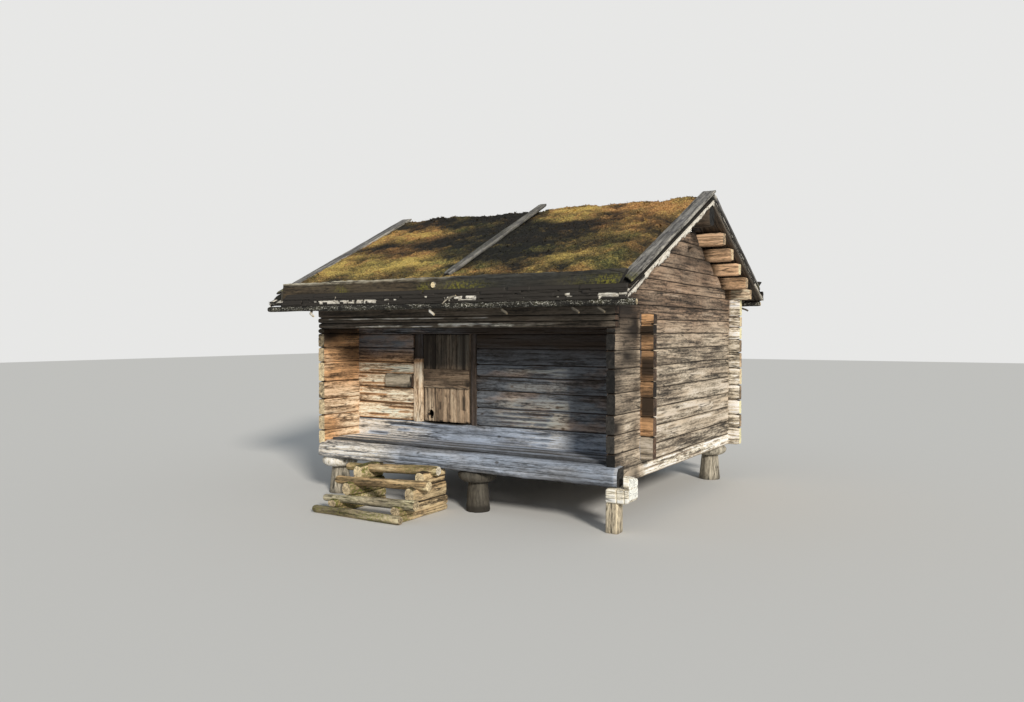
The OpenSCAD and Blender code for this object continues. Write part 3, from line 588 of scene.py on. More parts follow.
def gable_dark(p):
    z, y = p[:, 2], p[:, 1]
    dark = 0.3 * step_up(z, 2.3, 2.7) * (0.6 + 1.3 * noise(p, (1, 1.5, 6), 6))
    # painted shadow of the roof's overhang, in a band under the roof
    dark += 0.45 * step_up(under_at(y) - z, 0.42, 0.18)
    # painted deep shade in the recess high under the ridge
    dark = np.where((z > 3.64) & (y > 2.2), 0.9, dark)
    dark += 0.42 * step_up(y, 0.7, 0.6) * (0.9 + 1.3 * noise(p, (1, 3, 5), 12))
    dark += 0.9 * unit(noise(p, (1, 1.6, 2.4), 61) - 0.22) * step_up(z, 1.3, 1.9)
    pale = unit(0.2 * step_up(z, 2.0, 1.2) + 0.12 * noise(p, (1, 1.3, 5), 8))
    sill = step_up(0.715 + 0.04 * noise(p, (1, 4, 1), 9) - z, 0.0, 0.03) * step_up(y, 0.8, 1.0)
    dark = np.where(dark > 0.05, dark, -pale) + 0.26 * noise(p, (1, 1.8, 13), 70) - 1.4 * sill
    # on the face towards the porch: painted shade above about 1.9 m and painted sunlight below it
    in_porch = 0.7 * noise(p, (1, 2, 6), 13) + 0.6 * step_up(z, 1.9, 2.25) - 0.25 * step_up(1.9 - z, 0, 0.2)
    return np.where(faces_porch(p), in_porch, dark)


GABLE_STYLE = {"grey": gable_grey, "dark": gable_dark}


def side_wall(name, side, node, materials):
    """One side wall; side is +1 for the right one and -1 for the left one."""
    piece = Piece(name)
    x = side * (HALF - LOG_T / 2)
    style = dict(GABLE_STYLE, mats=(0, 2, 1), inner=3)
    stops = [RIDGE_Y - 0.12, *PURLIN_Y, PLATE_Y]
    top = RIDGE_Z - DECK - 0.004
    for k, (z0, z1) in enumerate(zip(GABLE_Z[:-1], GABLE_Z[1:])):
        j = len(GABLE_Z) - 2 - k
        y0, y1 = (0.0 if z1 < HEADER_LOW else LOG_T), DEPTH + OVER
        spans, cracks, pocket = [(y0, y1, None)], (0.26, 0.5, 0.74), None
        if z0 < HEADER_LOW < z1:
            log(piece, (x, 0.0), (x, LOG_T + 0.01), (side, 0, 0), joint(k, z0), HEADER_LOW, 9, cracks=(0.5,),
                **style)
        if z0 > WALL_TOP - 0.001:
            # past the wall plate each course stops at a purlin, and its face is cut aslant there
            stop = stops[j] - 0.004
            corner = (stops[j - 1] + 0.03, stop - 0.14) if j > 1 else (RIDGE_Y + 0.26, stop - 0.02)
            spans = [(y0, stop, corner if j else (stop, stop))]
            if j == 0:
                spans.append((RIDGE_Y + 0.124, RIDGE_Y + 0.6, (9.0, 9.0)))
        for ya, yb, corner in spans:

            def ends(z, outer):
                t = unit((z1 - z) / (z1 - z0))
                stop_at = np.where(outer, corner[0] + (corner[1] - corner[0]) * t, yb)
                stop_at = np.minimum(stop_at, RIDGE_Y + (top - z) / BACK_FALL)
                return np.minimum(np.maximum(ya, RIDGE_Y - (top - z) / FALL), stop_at - 0.02), stop_at

            if z0 < VENT_COURSE < z1:
                # the stretch that the slanted ends will give the log, taken back for the vent
                cracks, low, high = (), max(VENT[2], z0 + 0.035), min(VENT[3], z1 - 0.035)
                first, last = (float(v) for v in ends(low, True))
                pocket = [ya + (v - first) / (last - first) * (yb - ya) for v in VENT[:2]] + [low, high]
            log(piece, (x, ya), (x, yb), (side, 0, 0), joint(k, z0, 0.01 * (k > 0)), joint(k + 1, z1),
                k + (20 if side > 0 else 60), cracks=cracks, ends=ends if corner else None, pocket=pocket,
                **style)
    piece.make("log_wall", materials, node)


# the right wall's front ends take near-black end grain as painted shade, the left wall's take paler end grain
# as painted sunlight
side_wall("right_wall_logs", 1, "right_wall", WALL_LOOK)
side_wall("left_wall_logs", -1, "left_wall", [M_GABLE, M_ENDS, M_STEP_END, M_FRONT])


def cross(piece, x0, x1, y, z0, z1, k, uneven=(0.01, 0.01), **style):
    """A log that runs left-right, with its face towards -Y unless it is in the back wall."""
    out = (0, 1 if y > 2 else -1, 0)
    log(piece, (x0, y + LOG_T / 2), (x1, y + LOG_T / 2), out, joint(k, z0, uneven[0]),
        joint(k + 1, z1, uneven[1]), k * 0.37 + 3, **style)


def back_dark(p):
    return np.where(crossing(p), -0.85 + 0.3 * noise(p, (1, 1, 5), 14), gable_dark(p))


MIDS = [LOW] + [(WALL_Z[i] + WALL_Z[i + 1]) / 2 for i in range(1, len(WALL_Z) - 2)] + [WALL_TOP]
wall = Piece("back_wall_logs")
for k in range(len(MIDS) - 1):
    cross(wall, -HALF - OVER, HALF + OVER, PLATE_Y, *MIDS[k:k + 2], 100 + k, grey=gable_grey, dark=back_dark)
reach = HALF + PURLIN_REACH
cross(wall, -reach, reach, PLATE_Y, WALL_TOP - 0.016, WALL_TOP + 0.15, 130, (0.004, 0.004), grey=0.1,
      dark=back_dark, mats=(2, 1, 1))
reach = HALF - 0.01
cross(wall, -reach, reach, PLATE_Y, WALL_TOP + 0.14, float(under_at(DEPTH)) - 0.01, 131, (0.0, 0.0), grey=0.1,
      cracks=(0.5,))
wall.make("log_wall", [M_GABLE, M_PURLIN_END, M_PURLIN], "back_wall")

SILL_LOW, SILL_TOP = (v[2] for v in local_box("threshold_log"))
DOOR_TOP = local_box("left_jamb")[1][2]
JAMB_L, DOOR_L = (v[0] for v in local_box("left_jamb"))
DOOR_R, JAMB_R = (v[0] for v in local_box("right_jamb"))
FRONT_Z = [SILL_TOP + s * (DOOR_TOP - SILL_TOP) for s in (0, 0.194, 0.378, 0.538, 0.672, 0.841, 1)]
FRONT_ROOF = float(under_at(FRONT_Y)) - 0.008
OVER_Z = [DOOR_TOP + s * (FRONT_ROOF - DOOR_TOP) for s in (0, 0.13, 0.266, 0.45, 0.63, 0.82, 1)]
# height of the painted edge between the sunlit wall below and the shaded wall above
SUNNY = 1.88


def front_grey(p):
    """Warm wood to the left of the door and in the crossing ends, grey to its right and above the sun line:
    that grey is painted shade.
    """
    grey = 0.95 * step_up(p[:, 0], JAMB_L, JAMB_R) + 0.15 * noise(p, 1.6, 9)
    return np.where(crossing(p), -0.3, grey + 0.9 * step_up(p[:, 2], SUNNY - 0.05, SUNNY + 0.15))


def front_dark(p):
    x, z = p[:, 0], p[:, 2]
    streaks = noise(p, (1.2, 1, 9), 15)
    bent = 0.05 * noise(p, 3, 16)
    right = step_up(x, JAMB_L, JAMB_R)
    # painted shade above the sun line, heavier right of the door, and painted shade on the upper right of the
    # wall
    dark = (0.08 + 0.56 * right) * step_up(z + bent, SUNNY, SUNNY + 0.22) + 0.16 * streaks
    dark = dark + 0.2 * right * step_up(z, 1.2, 1.5)
    # painted sunlight left of the door below the sun line, and a painted lit patch right of the door
    sun = step_up(x, JAMB_L + 0.05, JAMB_L - 0.05) * step_up(SUNNY + bent - z, 0, 0.05)
    sun = sun * (1.4 + 0.8 * streaks)
    lit = 0.3 * step_up(x, 0.1, 0.5) * step_up(1.36 - x, 0, 0.05) * step_up(SUNNY - 0.02 - z, 0, 0.06)
    ends = 0.82 + 0.7 * noise(p, (0.1, 0.1, 4.3), 17) - 0.3 * step_up(1.25 - z, 0, 0.1)
    return np.where(crossing(p), np.where(z > 2.36, 0.05, ends), dark - sun - lit)


# The joint above the door is straighter than the others, so that the leaf clears it
UNEVEN = (0.01, 0.01, 0.01, 0.01, 0.01, 0.01, 0.003)
FRONT_STYLE = {"grey": front_grey, "dark": front_dark}
for node, x0, x1, depth in (("front_wall_left", -HALF - OVER, JAMB_L, 0.014),
                            ("front_wall_right", JAMB_R, HALF + OVER, 0.018)):
    wall = Piece(node + "_logs")
    for k in range(6):
        cross(wall, x0, x1, FRONT_Y, *FRONT_Z[k:k + 2], 200 + k, UNEVEN[k:k + 2], depth=depth, **FRONT_STYLE)
    wall.make("front_wall_wood", FRONT_WOOD, node)
wall = Piece("front_wall_upper_logs")
for k in range(6):
    reach = HALF + OVER if k < 2 else HALF - LOG_T
    cross(wall, -reach, reach, FRONT_Y, *OVER_Z[k:k + 2], 206 + k,
          (0.003 if k == 0 else 0.01, 0.0 if k == 5 else 0.01), **FRONT_STYLE)
wall.make("front_wall_wood", FRONT_WOOD, "front_wall_over_door")


def porch_dark(p):
    """Pale at the left, where the sun reaches, and at the crossing ends of the threshold. The pale at the
    left and a lit patch on the wall are painted sunlight, and the beam and floor darken towards the right as
    painted shade.
    """
    x, wall = p[:, 0], p[:, 1] > FRONT_Y - 0.02
    pale = 1.0 * step_up(x, -0.75, -1.25) * (0.85 + 0.3 * noise(p, (1.5, 3, 8), 18))
    pale += 0.35 * step_up(x, 0.5, 0.9) * step_up(1.5 - x, 0, 0.3) * wall
    pale = np.where(crossing(p), 0.2, pale)
    mottle_and_painted_shade = 0.04 + 0.4 * noise(p, (1.1, 2, 10), 19) + 0.14 * step_up(x, 0.7, 1.7) * ~wall
    return np.where(pale > 0.05, -pale, unit(mottle_and_painted_shade))


def threshold():
    """The lowest log of the recessed wall, with its top worn down in the doorway."""
    piece = Piece("threshold_log_hewn")
    grow = joint(200, SILL_TOP)

    def high(s):
        t = (s - DOOR_L) / (DOOR_R - DOOR_L)
        worn = 0.016 * unit(np.minimum((t - 0.03) / 0.2, (0.93 - t) / 0.2)) ** 0.7
        return np.where(np.abs(t - 0.5) < 0.7, SILL_TOP - 0.003 - worn, grow(s))

    y = FRONT_Y + LOG_T / 2
    log(piece, (-HALF - OVER, y), (HALF + OVER, y), (0, -1, 0), SILL_LOW, high, 77, 0.6, dark=porch_dark,
        rough=0.005, grey=lambda p: np.where(crossing(p), -0.4, 0.9))
    piece.make("front_wall_wood", [M_PORCH, M_ENDS], "threshold_log")


threshold()


def header():
    """The logs over the porch. Light from below catches parts of their edges, which are painted highlights,
    and the lower log is painted lighter at the right where light falls on it.
    """
    piece = Piece("porch_header_logs")
    high = float(under_at(0.0)) - 0.008
    z = [HEADER_LOW + s * (high - HEADER_LOW) for s in (0, 0.15, 0.29, 0.62, 1)]

    def pale_and_painted_light(p):
        edge = 0.0
        for level, x0, x1 in ((2.476, -2.1, 0.85), (2.345, -1.6, 0.95), (2.4, -0.2, 0.9)):
            on = (np.abs(p[:, 2] - level) < 0.026) & (p[:, 0] > x0) & (p[:, 0] < x1)
            edge = np.maximum(edge, on * step_up(wave(p[:, 0], level * 3, 0.25), -0.35, 0.1))
        # painted light on the lower log at the right
        low = 0.35 * step_up(2.42 - p[:, 2], 0, 0.05) * step_up(p[:, 0], 0.4, 1.2)
        return 0.3 + 0.2 * noise(p, (1.3, 1, 8), 27) - 1.3 * edge - low

    for k in range(4):
        cross(piece, -HALF + 0.002, HALF - 0.002, 0.0, *z[k:k + 2], 300 + k,
              (0.006 * (k > 0), 0.006 * (k < 3)), grey=0.55, dark=pale_and_painted_light,
              cracks=(0.5,) if k < 2 else (0.35, 0.7))
    piece.make("header_wood", [M_HEADER, M_ENDS], "porch_header")


header()


def beam():
    """The big beam along the porch edge and the boards behind it."""
    piece = Piece("porch_beam_hewn")
    lo, hi = local_box("porch_beam")
    n = 150
    s = np.linspace(lo[0], hi[0], n)
    h, w = hi[2] - lo[2], (hi[1] - lo[1]) / 2
    base = np.array([(-w, 0.03), (-w + 0.02, 0.0), (0.0, 0.0), (w - 0.02, 0.0), (w, 0.02),
                     (w + 0.002, 0.055), (w, 0.078), (w - 0.014, 0.084), (w, 0.09), (w + 0.003, 0.12),
                     (w, 0.142), (w - 0.01, 0.147), (w - 0.002, 0.152), (w - 0.01, h * 0.8),
                     (w - 0.035, h * 0.97), (0.0, h), (-w + 0.02, h), (-w, h - 0.03)])
    section = repeated(base, n)
    taper = (hi[0] - s) / (hi[0] - lo[0])
    section[:, :5, 1] += (0.006 + 0.012 * wave(s, 2.5, 0.3) + 0.006 * wave(s, 8.5, 0.07))[:, None]
    section[:, 5:13, 1] += (0.012 * wave(s, 5.5, 1.3) - 0.03 * taper)[:, None]
    section[:, 13:15, 1] -= (0.038 * taper)[:, None]
    shadow = np.zeros((n, len(base)))
    for j, k in ((7, 0.014), (11, 0.01)):
        section[:, j, 0] += k * (1 - unit(wave(s, 30.5 + j, 0.5) * 3 + 0.6))
        shadow[:, j] = 0.85

    def dark(p):
        return over(porch_dark(p) + 0.35 * step_up(lo[2] + 0.05 - p[:, 2], 0, 0.05), shadow.ravel())

    sweep(piece, points(s, (lo[1] + hi[1]) / 2, lo[2]), section, seed=5, tone=0.6, grey=0.9, rough=0.006,
          dark=dark)
    piece.make("porch_wood", [M_PORCH, M_ENDS_GREY], "porch_beam")
    piece = Piece("porch_floor_boards")
    lo, hi = local_box("porch_floor")
    edges = [lo[1], lo[1] + 0.17, lo[1] + 0.38, hi[1]]
    n = 60
    s = np.linspace(lo[0] + 0.003, hi[0] - 0.003, n)
    for i, (y0, y1) in enumerate(zip(edges, edges[1:])):
        shape = plank(y1 - y0 - 0.001, hi[2] - lo[2] - 0.003, 0.01)
        side = np.abs(shape[:, 0]) > (y1 - y0 - 0.001) / 2 - 0.012
        sweep(piece, points(s, (y0 + y1) / 2, lo[2] + 0.003 * wave(s, 9.5 + i, 1.0)), shape,
              tone=0.45 + 0.15 * i, grey=0.9, seed=30 + i,
              dark=lambda p: over(porch_dark(p), np.tile(side * 0.8, n)))
    piece.make("porch_wood", [M_PORCH, M_ENDS], "porch_floor")


beam()


def jamb(node, tone, left):
    """An upright plank beside the door."""
    piece = Piece(node + "_plank")
    lo, hi = local_box(node)
    n = 50
    z = np.linspace(lo[2] - 0.02, hi[2], n)
    base = plank(hi[0] - lo[0] - 0.004, LOG_T + 0.006)
    section = repeated(base, n)
    if left:
        # the outer part of the left plank is torn off above a knot
        torn = step_up(z, SUNNY - 0.02, SUNNY + 0.03) * (1 + 0.2 * wave(z, 7.7, 0.06))
        section[..., 1] -= (0.035 * torn)[:, None] * (base[None, :, 1] > 0.05)
    section[..., 0] += 0.004 * wave(z, 3.3, 0.5)[:, None]

    # painted light and shade: the right plank is dark all over as shade, and the left plank is dark and grey
    # above the sun line as shade and pale below it as sunlight
    def dark(p):
        if not left:
            return 0.78 + 0.2 * noise(p, (5, 5, 1), 44)
        knot = np.exp(-((p[:, 2] - SUNNY) / 0.035) ** 2)
        return np.where(p[:, 2] > SUNNY + 0.02, 0.72, -0.7) + 0.8 * knot + 0.35 * noise(p, (8, 8, 1.5), 45)

    sweep(piece, points((lo[0] + hi[0]) / 2, hi[1], z), section, **UPRIGHT, seed=105 if left else 106,
          tone=tone, grey=lambda p: np.where(p[:, 2] > SUNNY + 0.02, 1.0, 0.1 if left else 0.9), dark=dark,
          rough=0.004)
    piece.make("front_wall_wood", FRONT_WOOD, node)


jamb("left_jamb", 0.6, True)
jamb("right_jamb", 0.4, False)


def between(low, high, base):
    """Outlines whose second number runs from low to high, where base has it from -0.5 to 0.5."""
    section = repeated(base, len(low))
    section[..., 1] = ((high + low) / 2)[:, None] + base[None, :, 1] * (high - low)[:, None]
    return section


def lock_board():
    """The short slab beside the door, ragged at its left end."""
    piece = Piece("lock_board_slab")
    lo, hi = local_box("lock_board")
    s = np.linspace(lo[0] + 0.01, hi[0], 44)
    base = plank(1.0, hi[1] - lo[1])[:, ::-1]
    ragged = step_up(lo[0] + 0.06 - s, 0, 0.06)
    section = between(lo[2] + 0.018 + 0.014 * wave(s, 8.5, 0.06) + 0.01 * ragged,
                      hi[2] - 0.012 + 0.01 * wave(s, 4.5, 0.12) - 0.03 * ragged, base)
    slide = np.zeros(section.shape[:2])
    slide[0] = 0.035 * np.abs(np.sin(base[:, 1] * 23.0))

    def dark(p):
        # darker over the last 9 cm at the right end
        added_dark = 1.3 * step_up(p[:, 0], hi[0] - 0.09, hi[0]) * (noise(p, (9, 9, 30), 46) > -0.2)
        return -0.05 + 0.3 * noise(p, (3, 3, 20), 62) + added_dark + 0.5 * step_up(lo[2] + 0.05 - p[:, 2], 0, 0.02)

    sweep(piece, points(s, hi[1], 0), section, seed=14, tone=0.6, grey=0.2, dark=dark, rough=0.006,
          slide=slide)
    piece.make("front_wall_wood", POST_LOOK, "lock_board")


lock_board()


def iron():
    s = Shader("old_iron")
    n = s.speckle(s.node("TexCoord", out="Object"), 60.0, 4.0)
    return s.finish(s.ramp(n, (0.35, (0.012, 0.009, 0.008)), (0.65, (0.09, 0.04, 0.02))), 0.7, n, 0.001)


M_IRON = iron()
LEAF_T = 0.042
LEAF_SET_BACK = 0.029
HINGE_X = -0.196
BATTEN_Z = 1.632
TENON_R = 0.0165
TENON_DOWN, TENON_UP = 0.0396, 0.04
HOLE_R = 0.05


def door():
    """The leaf of upright boards with its batten and the hole for the cat."""
    x0 = local_box("door_leaf")[0][0]
    y_out = FRONT_Y + LEAF_SET_BACK
    z0, z1 = SILL_TOP + 0.008, DOOR_TOP - 0.008
    piece = Piece("door_leaf_boards")
    edges = [x0, x0 + 0.205, x0 + 0.315, x0 + 0.445, x0 + 0.565, HINGE_X + 0.018]
    hole_x, hole_z = x0 + 0.125, SILL_TOP + 0.117
    z = np.linspace(z0, z1, 90)

    # painted shade: the leaf turns darker above about 1.75 m
    def dark(p):
        run = noise(p, (16, 1, 1.1), 47)
        fine = noise(p, (45, 1, 2.5), 48)
        warm = step_up(-0.55 - p[:, 0], -0.2, 0.3) * step_up(1.55 - p[:, 2], -0.05, 0.1)
        lower = 0.06 + 1.0 * unit(run + 0.55 * fine - 0.1) - 0.3 * unit(-run) - 0.16 * warm
        edge = 0.55 * (np.min(np.abs(p[:, :1] - np.array(edges)[None]), axis=1) < 0.006)
        spots = 1.2 * (noise(p, (34, 1, 9), 63) > 0.5) * step_up(1.45 - p[:, 2], 0, 0.1)
        return over(lower + step_up(p[:, 2], 1.72, 1.82) * (0.52 + 0.4 * run), np.maximum(edge, spots))

    for i, (xa, xb) in enumerate(zip(edges, edges[1:])):
        w, mid = xb - xa - 0.001, (xb + xa) / 2
        # the boards turn grey above about 1.75 m as painted shade
        style = dict(UPRIGHT, tone=0.35 + 0.1 * i, dark=dark,
                     grey=lambda p: 0.1 + 0.8 * step_up(p[:, 2], 1.7, 1.85))
        if i:
            sweep(piece, points(mid, y_out + LEAF_T - 0.001 * (i % 2), z), plank(w, LEAF_T - 0.002),
                  seed=52 + i, rough=0.002, **style)
            continue
        # a board with a hole: its two sides run round the hole
        half = np.sqrt(np.clip(HOLE_R**2 - (z - hole_z) ** 2, 0, None))
        half = np.where((z < hole_z) & (z > hole_z - 0.075), np.maximum(half, 0.03), half)
        for sign in (-1, 1):
            inner, outer = hole_x + sign * half, mid + sign * w / 2
            base = plank(1.0, LEAF_T, 0.008)
            section = repeated(base, len(z))
            section[..., 0] = np.abs(outer - inner)[:, None] * base[None, :, 0]
            section[..., 0] += ((outer + inner) / 2 - mid)[:, None]
            sweep(piece, points(mid, y_out + LEAF_T, z), section, seed=51, rough=0.0006, **style)
    # batten across the outside, split along its grain
    s = np.linspace(x0 + 0.01, HINGE_X - 0.004, 50)

    def knotty(p):
        value = 0.3 + 0.45 * noise(p, (2.5, 1, 12), 49) + 0.9 * unit(noise(p, (9, 1, 9), 50) - 0.2)
        return np.where(p[:, 2] < BATTEN_Z - 0.115, -0.6, value)

    for part, (low, high) in enumerate(((-0.13, -0.001), (0.001, 0.13))):
        section = between(BATTEN_Z + low + 0.006 * wave(s, 21.5 + part, 0.3),
                          BATTEN_Z + high + 0.006 * wave(s, 22.5 + part, 0.3),
                          plank(1.0, 0.018, 0.004)[:, ::-1])
        sweep(piece, points(s, y_out, 0), section, seed=61 + part, tone=0.45 + 0.2 * part, grey=0.15,
              rough=0.002, dark=knotty)
    # the rounded edge with the tenons that it turns on
    z = np.linspace(SILL_TOP - TENON_DOWN, DOOR_TOP + TENON_UP, 60)
    size = np.where((z > z0) & (z < z1), LEAF_T / 2 - 0.0005, TENON_R)
    sweep(piece, points(HINGE_X, y_out + LEAF_T / 2, z), circles(size, 24), **UPRIGHT, tone=0.4, seed=66,
          rough=0.0003, dark=0.4)
    for i in range(5):
        for dz in (-0.07, 0.06):
            y = y_out - 0.017 - np.array([0, 0.004])
            sweep(piece, points(x0 + 0.06 + 0.155 * i, y, BATTEN_Z + dz + 0.01 * (-1) ** i),
                  oval(0.008, 0.008, 10), **INWARDS, seed=i, rough=0.0, bevel=0.001, mats=(2, 2, 2))
    piece.make("door_wood", [M_DOOR, M_ENDS, M_IRON], "door_leaf", body="door")


door()


def purlins():
    """The back purlins, with open cracks in their faces, and the round one at the ridge."""
    piece = Piece("back_purlin_logs")
    n = 110
    s = np.linspace(-HALF - PURLIN_REACH, HALF + PURLIN_REACH, n)
    w = PURLIN_T / 2
    for k, (y, z) in enumerate(zip(PURLIN_Y, PURLIN_Z)):
        h = float(under_at(y + PURLIN_T)) - 0.004 - z
        face = [(0.001, 0.32), (0.0, 0.36), (-0.004, 0.38), (0.0, 0.4),
                (0.001, 0.6), (0.0, 0.66), (-0.004, 0.68), (0.0, 0.7)]
        base = np.array([(0.02 - w, 0.0), (0.0, 0.0), (w - 0.02, 0.0), (w - 0.006, 0.006), (w, 0.02)]
                        + [(w + out, h * v) for out, v in face]
                        + [(w, h - 0.02), (w - 0.006, h - 0.006), (w - 0.02, h), (0.0, h), (0.02 - w, h),
                           (0.006 - w, h - 0.006), (-w, h - 0.02), (-w, h / 2), (-w, 0.02),
                           (0.006 - w, 0.006)])
        section = repeated(base, n)
        section[:, 13:16, 1] -= (0.004 + 0.014 * unit(wave(s, 2.2 + k, 0.1)))[:, None]
        shadow = np.zeros(section.shape[:2])
        for j in (7, 11):
            opened = unit(wave(s, 50.5 + 3 * k + j, 0.35) * 2.5)
            section[:, j, 0] -= 0.01 * opened
            shadow[:, j] = 0.95 * opened
        sweep(piece, points(s, y + w, z), section, tone=0.45 + 0.12 * (k % 3), grey=0.3, seed=400 + k,
              rough=0.004, bevel=0.014, dark=shadow)
    piece.make("purlin_wood", [M_PURLIN, M_PURLIN_END], "back_purlins")
    piece = Piece("ridge_purlin_log")
    lo, hi = local_box("ridge_purlin")
    r, h = (hi[1] - lo[1]) / 2, (hi[2] - lo[2]) / 2
    base = oval(r * 0.97, h * 0.99, 28, 2.8)
    base[:, 1] = np.minimum(base[:, 1], h - 0.004 - np.abs(base[:, 0]) * FALL * 0.9)
    sweep(piece, points(s, RIDGE_Y, lo[2] + h), base, tone=0.4, grey=0.1, seed=410, rough=0.009, bevel=0.012,
          dark=lambda p: 0.3 + 0.4 * noise(p, (3, 6, 6), 52))
    piece.make("purlin_wood", [M_HEADER, M_ENDS_GREY], "ridge_purlin")


purlins()


def deck(side, sign, y_eave, fall):
    """Boards that lie from the ridge to the eave, under the bark."""
    piece = Piece(side + "_deck_boards")
    slope = np.array([0, 1, fall])
    slope = slope / np.linalg.norm(slope)
    x, i = X_LEFT + 0.02, 0
    while x < X_RIGHT - 0.06:
        w = min(0.2 + 0.05 * rng.uniform(-1, 1), X_RIGHT - 0.02 - x)
        y = np.linspace(y_eave + (0.004 + 0.012 * rng.uniform(0, 1)) * sign, RIDGE_Y, 14)
        sweep(piece, points(x + w / 2, y, under_at(y) + 0.001), plank(w - 0.003, 0.026), (sign, 0, 0),
              (0, -slope[2], slope[1]), tone=rng.uniform(0.3, 0.7), grey=0.4, seed=500 + i, rough=0.002)
        x += w
        i += 1
    piece.make("birch_bark", [M_DECK, M_ENDS_GREY])


deck("front", 1, EAVE_Y, FALL)
deck("back", -1, BACK_Y, -BACK_FALL)


def bark_material():
    """Birch bark: white with short dark bars across it, grey and black where it has rotted."""
    s = Shader("birch_bark_white")
    at, tone, _, _, value = s.attributes()
    bars = s.grain(at, 22.0, 100.0, 3.0)
    blot = s.grain(at, 8.0, 14.0, 5.0, 0.7)
    col = s.ramp(s.speckle(at, 120.0, 3.0), (0.3, (0.6, 0.55, 0.46)), (0.7, (0.94, 0.89, 0.79)))
    col = s.blend(s.ramp(blot, (0.5, 0.0), (0.62, 0.75)), col, (0.3, 0.245, 0.175))
    col = s.blend(s.ramp(bars, (0.6, 0.0), (0.67, 0.9)), col, (0.07, 0.055, 0.045))
    rot = s.total(0.0, (blot, -2.6), (tone, -0.5), (value, 2.2), clamp=True)
    col = s.blend(s.ramp(rot, (0.16, 0.0), (0.3, 1.0)), col, (0.026, 0.021, 0.016))
    return s.finish(col, 0.75, s.math("ADD", bars, blot), 0.003)


M_BARK = bark_material()


def ribbon(piece, grid, tone, seed, dark=0.0, thick=0.004):
    """A thin sheet of bark from a grid of points (n, m, 3)."""
    n, m, _ = grid.shape
    du, dv = np.gradient(grid, axis=0), np.gradient(grid, axis=1)
    nrm = np.cross(du, dv)
    nrm /= np.maximum(np.linalg.norm(nrm, axis=-1, keepdims=True), 1e-9)
    verts = np.concatenate([(grid + nrm * thick / 2).reshape(-1, 3), (grid - nrm * thick / 2).reshape(-1, 3)])
    k = n * m
    faces = grid_faces(n, m, closed=False)
    faces += [tuple(k + v for v in f[::-1]) for f in faces]
    rim = [i * m for i in range(n)] + [(n - 1) * m + j for j in range(1, m)]
    rim += [i * m + m - 1 for i in range(n - 2, -1, -1)] + list(range(m - 2, 0, -1))
    faces += [(a, k + a, k + b, b) for a, b in zip(rim, rim[1:] + rim[:1])]
    length = np.linalg.norm(du, axis=-1).cumsum(axis=0)
    width = np.linalg.norm(dv, axis=-1).cumsum(axis=1)
    loc = points(length, width, seed * 1.7).reshape(-1, 3)
    value = 0.5 + 0.5 * np.clip(np.tile(np.broadcast_to(dark, (n, m)).ravel(), 2), -1, 1)
    mix = np.column_stack([np.full(2 * k, tone), np.full(2 * k, 0.5), np.zeros(2 * k), value])
    piece.add(verts, faces, np.concatenate([loc, loc + 0.3]), mix)


plank_lo, plank_hi = local_box("front_eave_plank")
WHITE_BARK = ((-1.99, -0.8), (0.27, 0.78), (1.91, 2.03), (2.3, 2.66))


def eave_bark(piece, layer, x0, sign, y_eave, turn):
    """A sheet of bark along the eave, torn and curled at its edge."""
    x1 = min(x0 + 0.6, X_RIGHT)
    x0 += 0.12 * rng.uniform(-1, 0) * (x0 > X_LEFT)
    xs = np.linspace(x0, x1, 46)
    out = 0.004 + 0.018 * rng.uniform(0, 1)
    edge = y_eave + sign * (out + 0.012 * wave(xs, layer * 9 + x0 * 3 + 9.5, 0.05))[:, None]
    ys = edge + (y_eave - sign * 0.45 - edge) * np.array([0.0, 0.012, 0.03, 0.06, 0.1, 0.16, 0.3, 0.6, 1.0])
    curl = 0.02 * wave(xs, layer * 5 + x0 * 2 + 3.5, 0.16)[:, None]
    near = unit(1 - np.abs(ys - edge) / 0.06) ** 1.5
    zs = top_at(np.clip(ys, EAVE_Y, BACK_Y)) - DECK + (0.028 + 0.006 * layer) + curl * near
    # most of the edge has gone black, with white pieces here and there
    white = step_up(wave(xs, layer * 3 + 31.5, 0.22) + 0.12 * (layer in (2, 3)), 0.1, 0.2)
    ribbon(piece, points(xs[:, None], ys, zs)[::turn], rng.uniform(0.1, 0.9), layer * 13 + x0,
           (0.75 - 1.1 * white)[::turn, None])


def torn_strips(piece, row, sign, y_eave):
    """A row of torn strips in front of the plank's foot, black with white pieces."""
    x0 = plank_lo[0] - 0.02 + 0.02 * row
    while x0 < X_RIGHT - 0.06:
        x1 = min(x0 + rng.uniform(0.25, 0.9), X_RIGHT)
        xs = np.linspace(x0, x1, max(6, int((x1 - x0) / 0.02)))
        white = 0.0 * xs
        for a, b in WHITE_BARK:
            white = np.maximum(white, step_up(xs, a - 0.03, a + 0.03) * step_up(b - xs, -0.03, 0.03))
        white = white * (row in (1, 2)) * step_up(wave(xs, row + 0.5, 0.05), -0.35, -0.15)
        white = np.maximum(white, step_up(wave(xs, row * 3 + 7.5, 0.1), 0.5, 0.6))
        out = rng.uniform(0.004, 0.016) + 0.006 * wave(xs, row + 12.5, 0.09)
        torn = 0.01 + 0.014 * np.abs(wave(xs, row * 7 + 2.5, 0.05))
        z = float(under_at(y_eave)) + 0.012 + 0.023 * row + 0.004 * wave(xs, row + 33.5, 0.5)
        rows = ((0.001, 0.03), (0.006, 0.022), (0.012, 0.01), (0.016, -0.003), (0.012, -0.01))
        grid = np.stack([points(xs, y_eave + sign * (dy + out * j / 3), z + dz - torn * (j == 4))
                         for j, (dy, dz) in enumerate(rows)], axis=1)
        ribbon(piece, grid, rng.uniform(0.2, 0.8), row * 17 + x0, (0.95 - 1.0 * white)[:, None])
        x0 = x1 - rng.uniform(-0.05, 0.06)


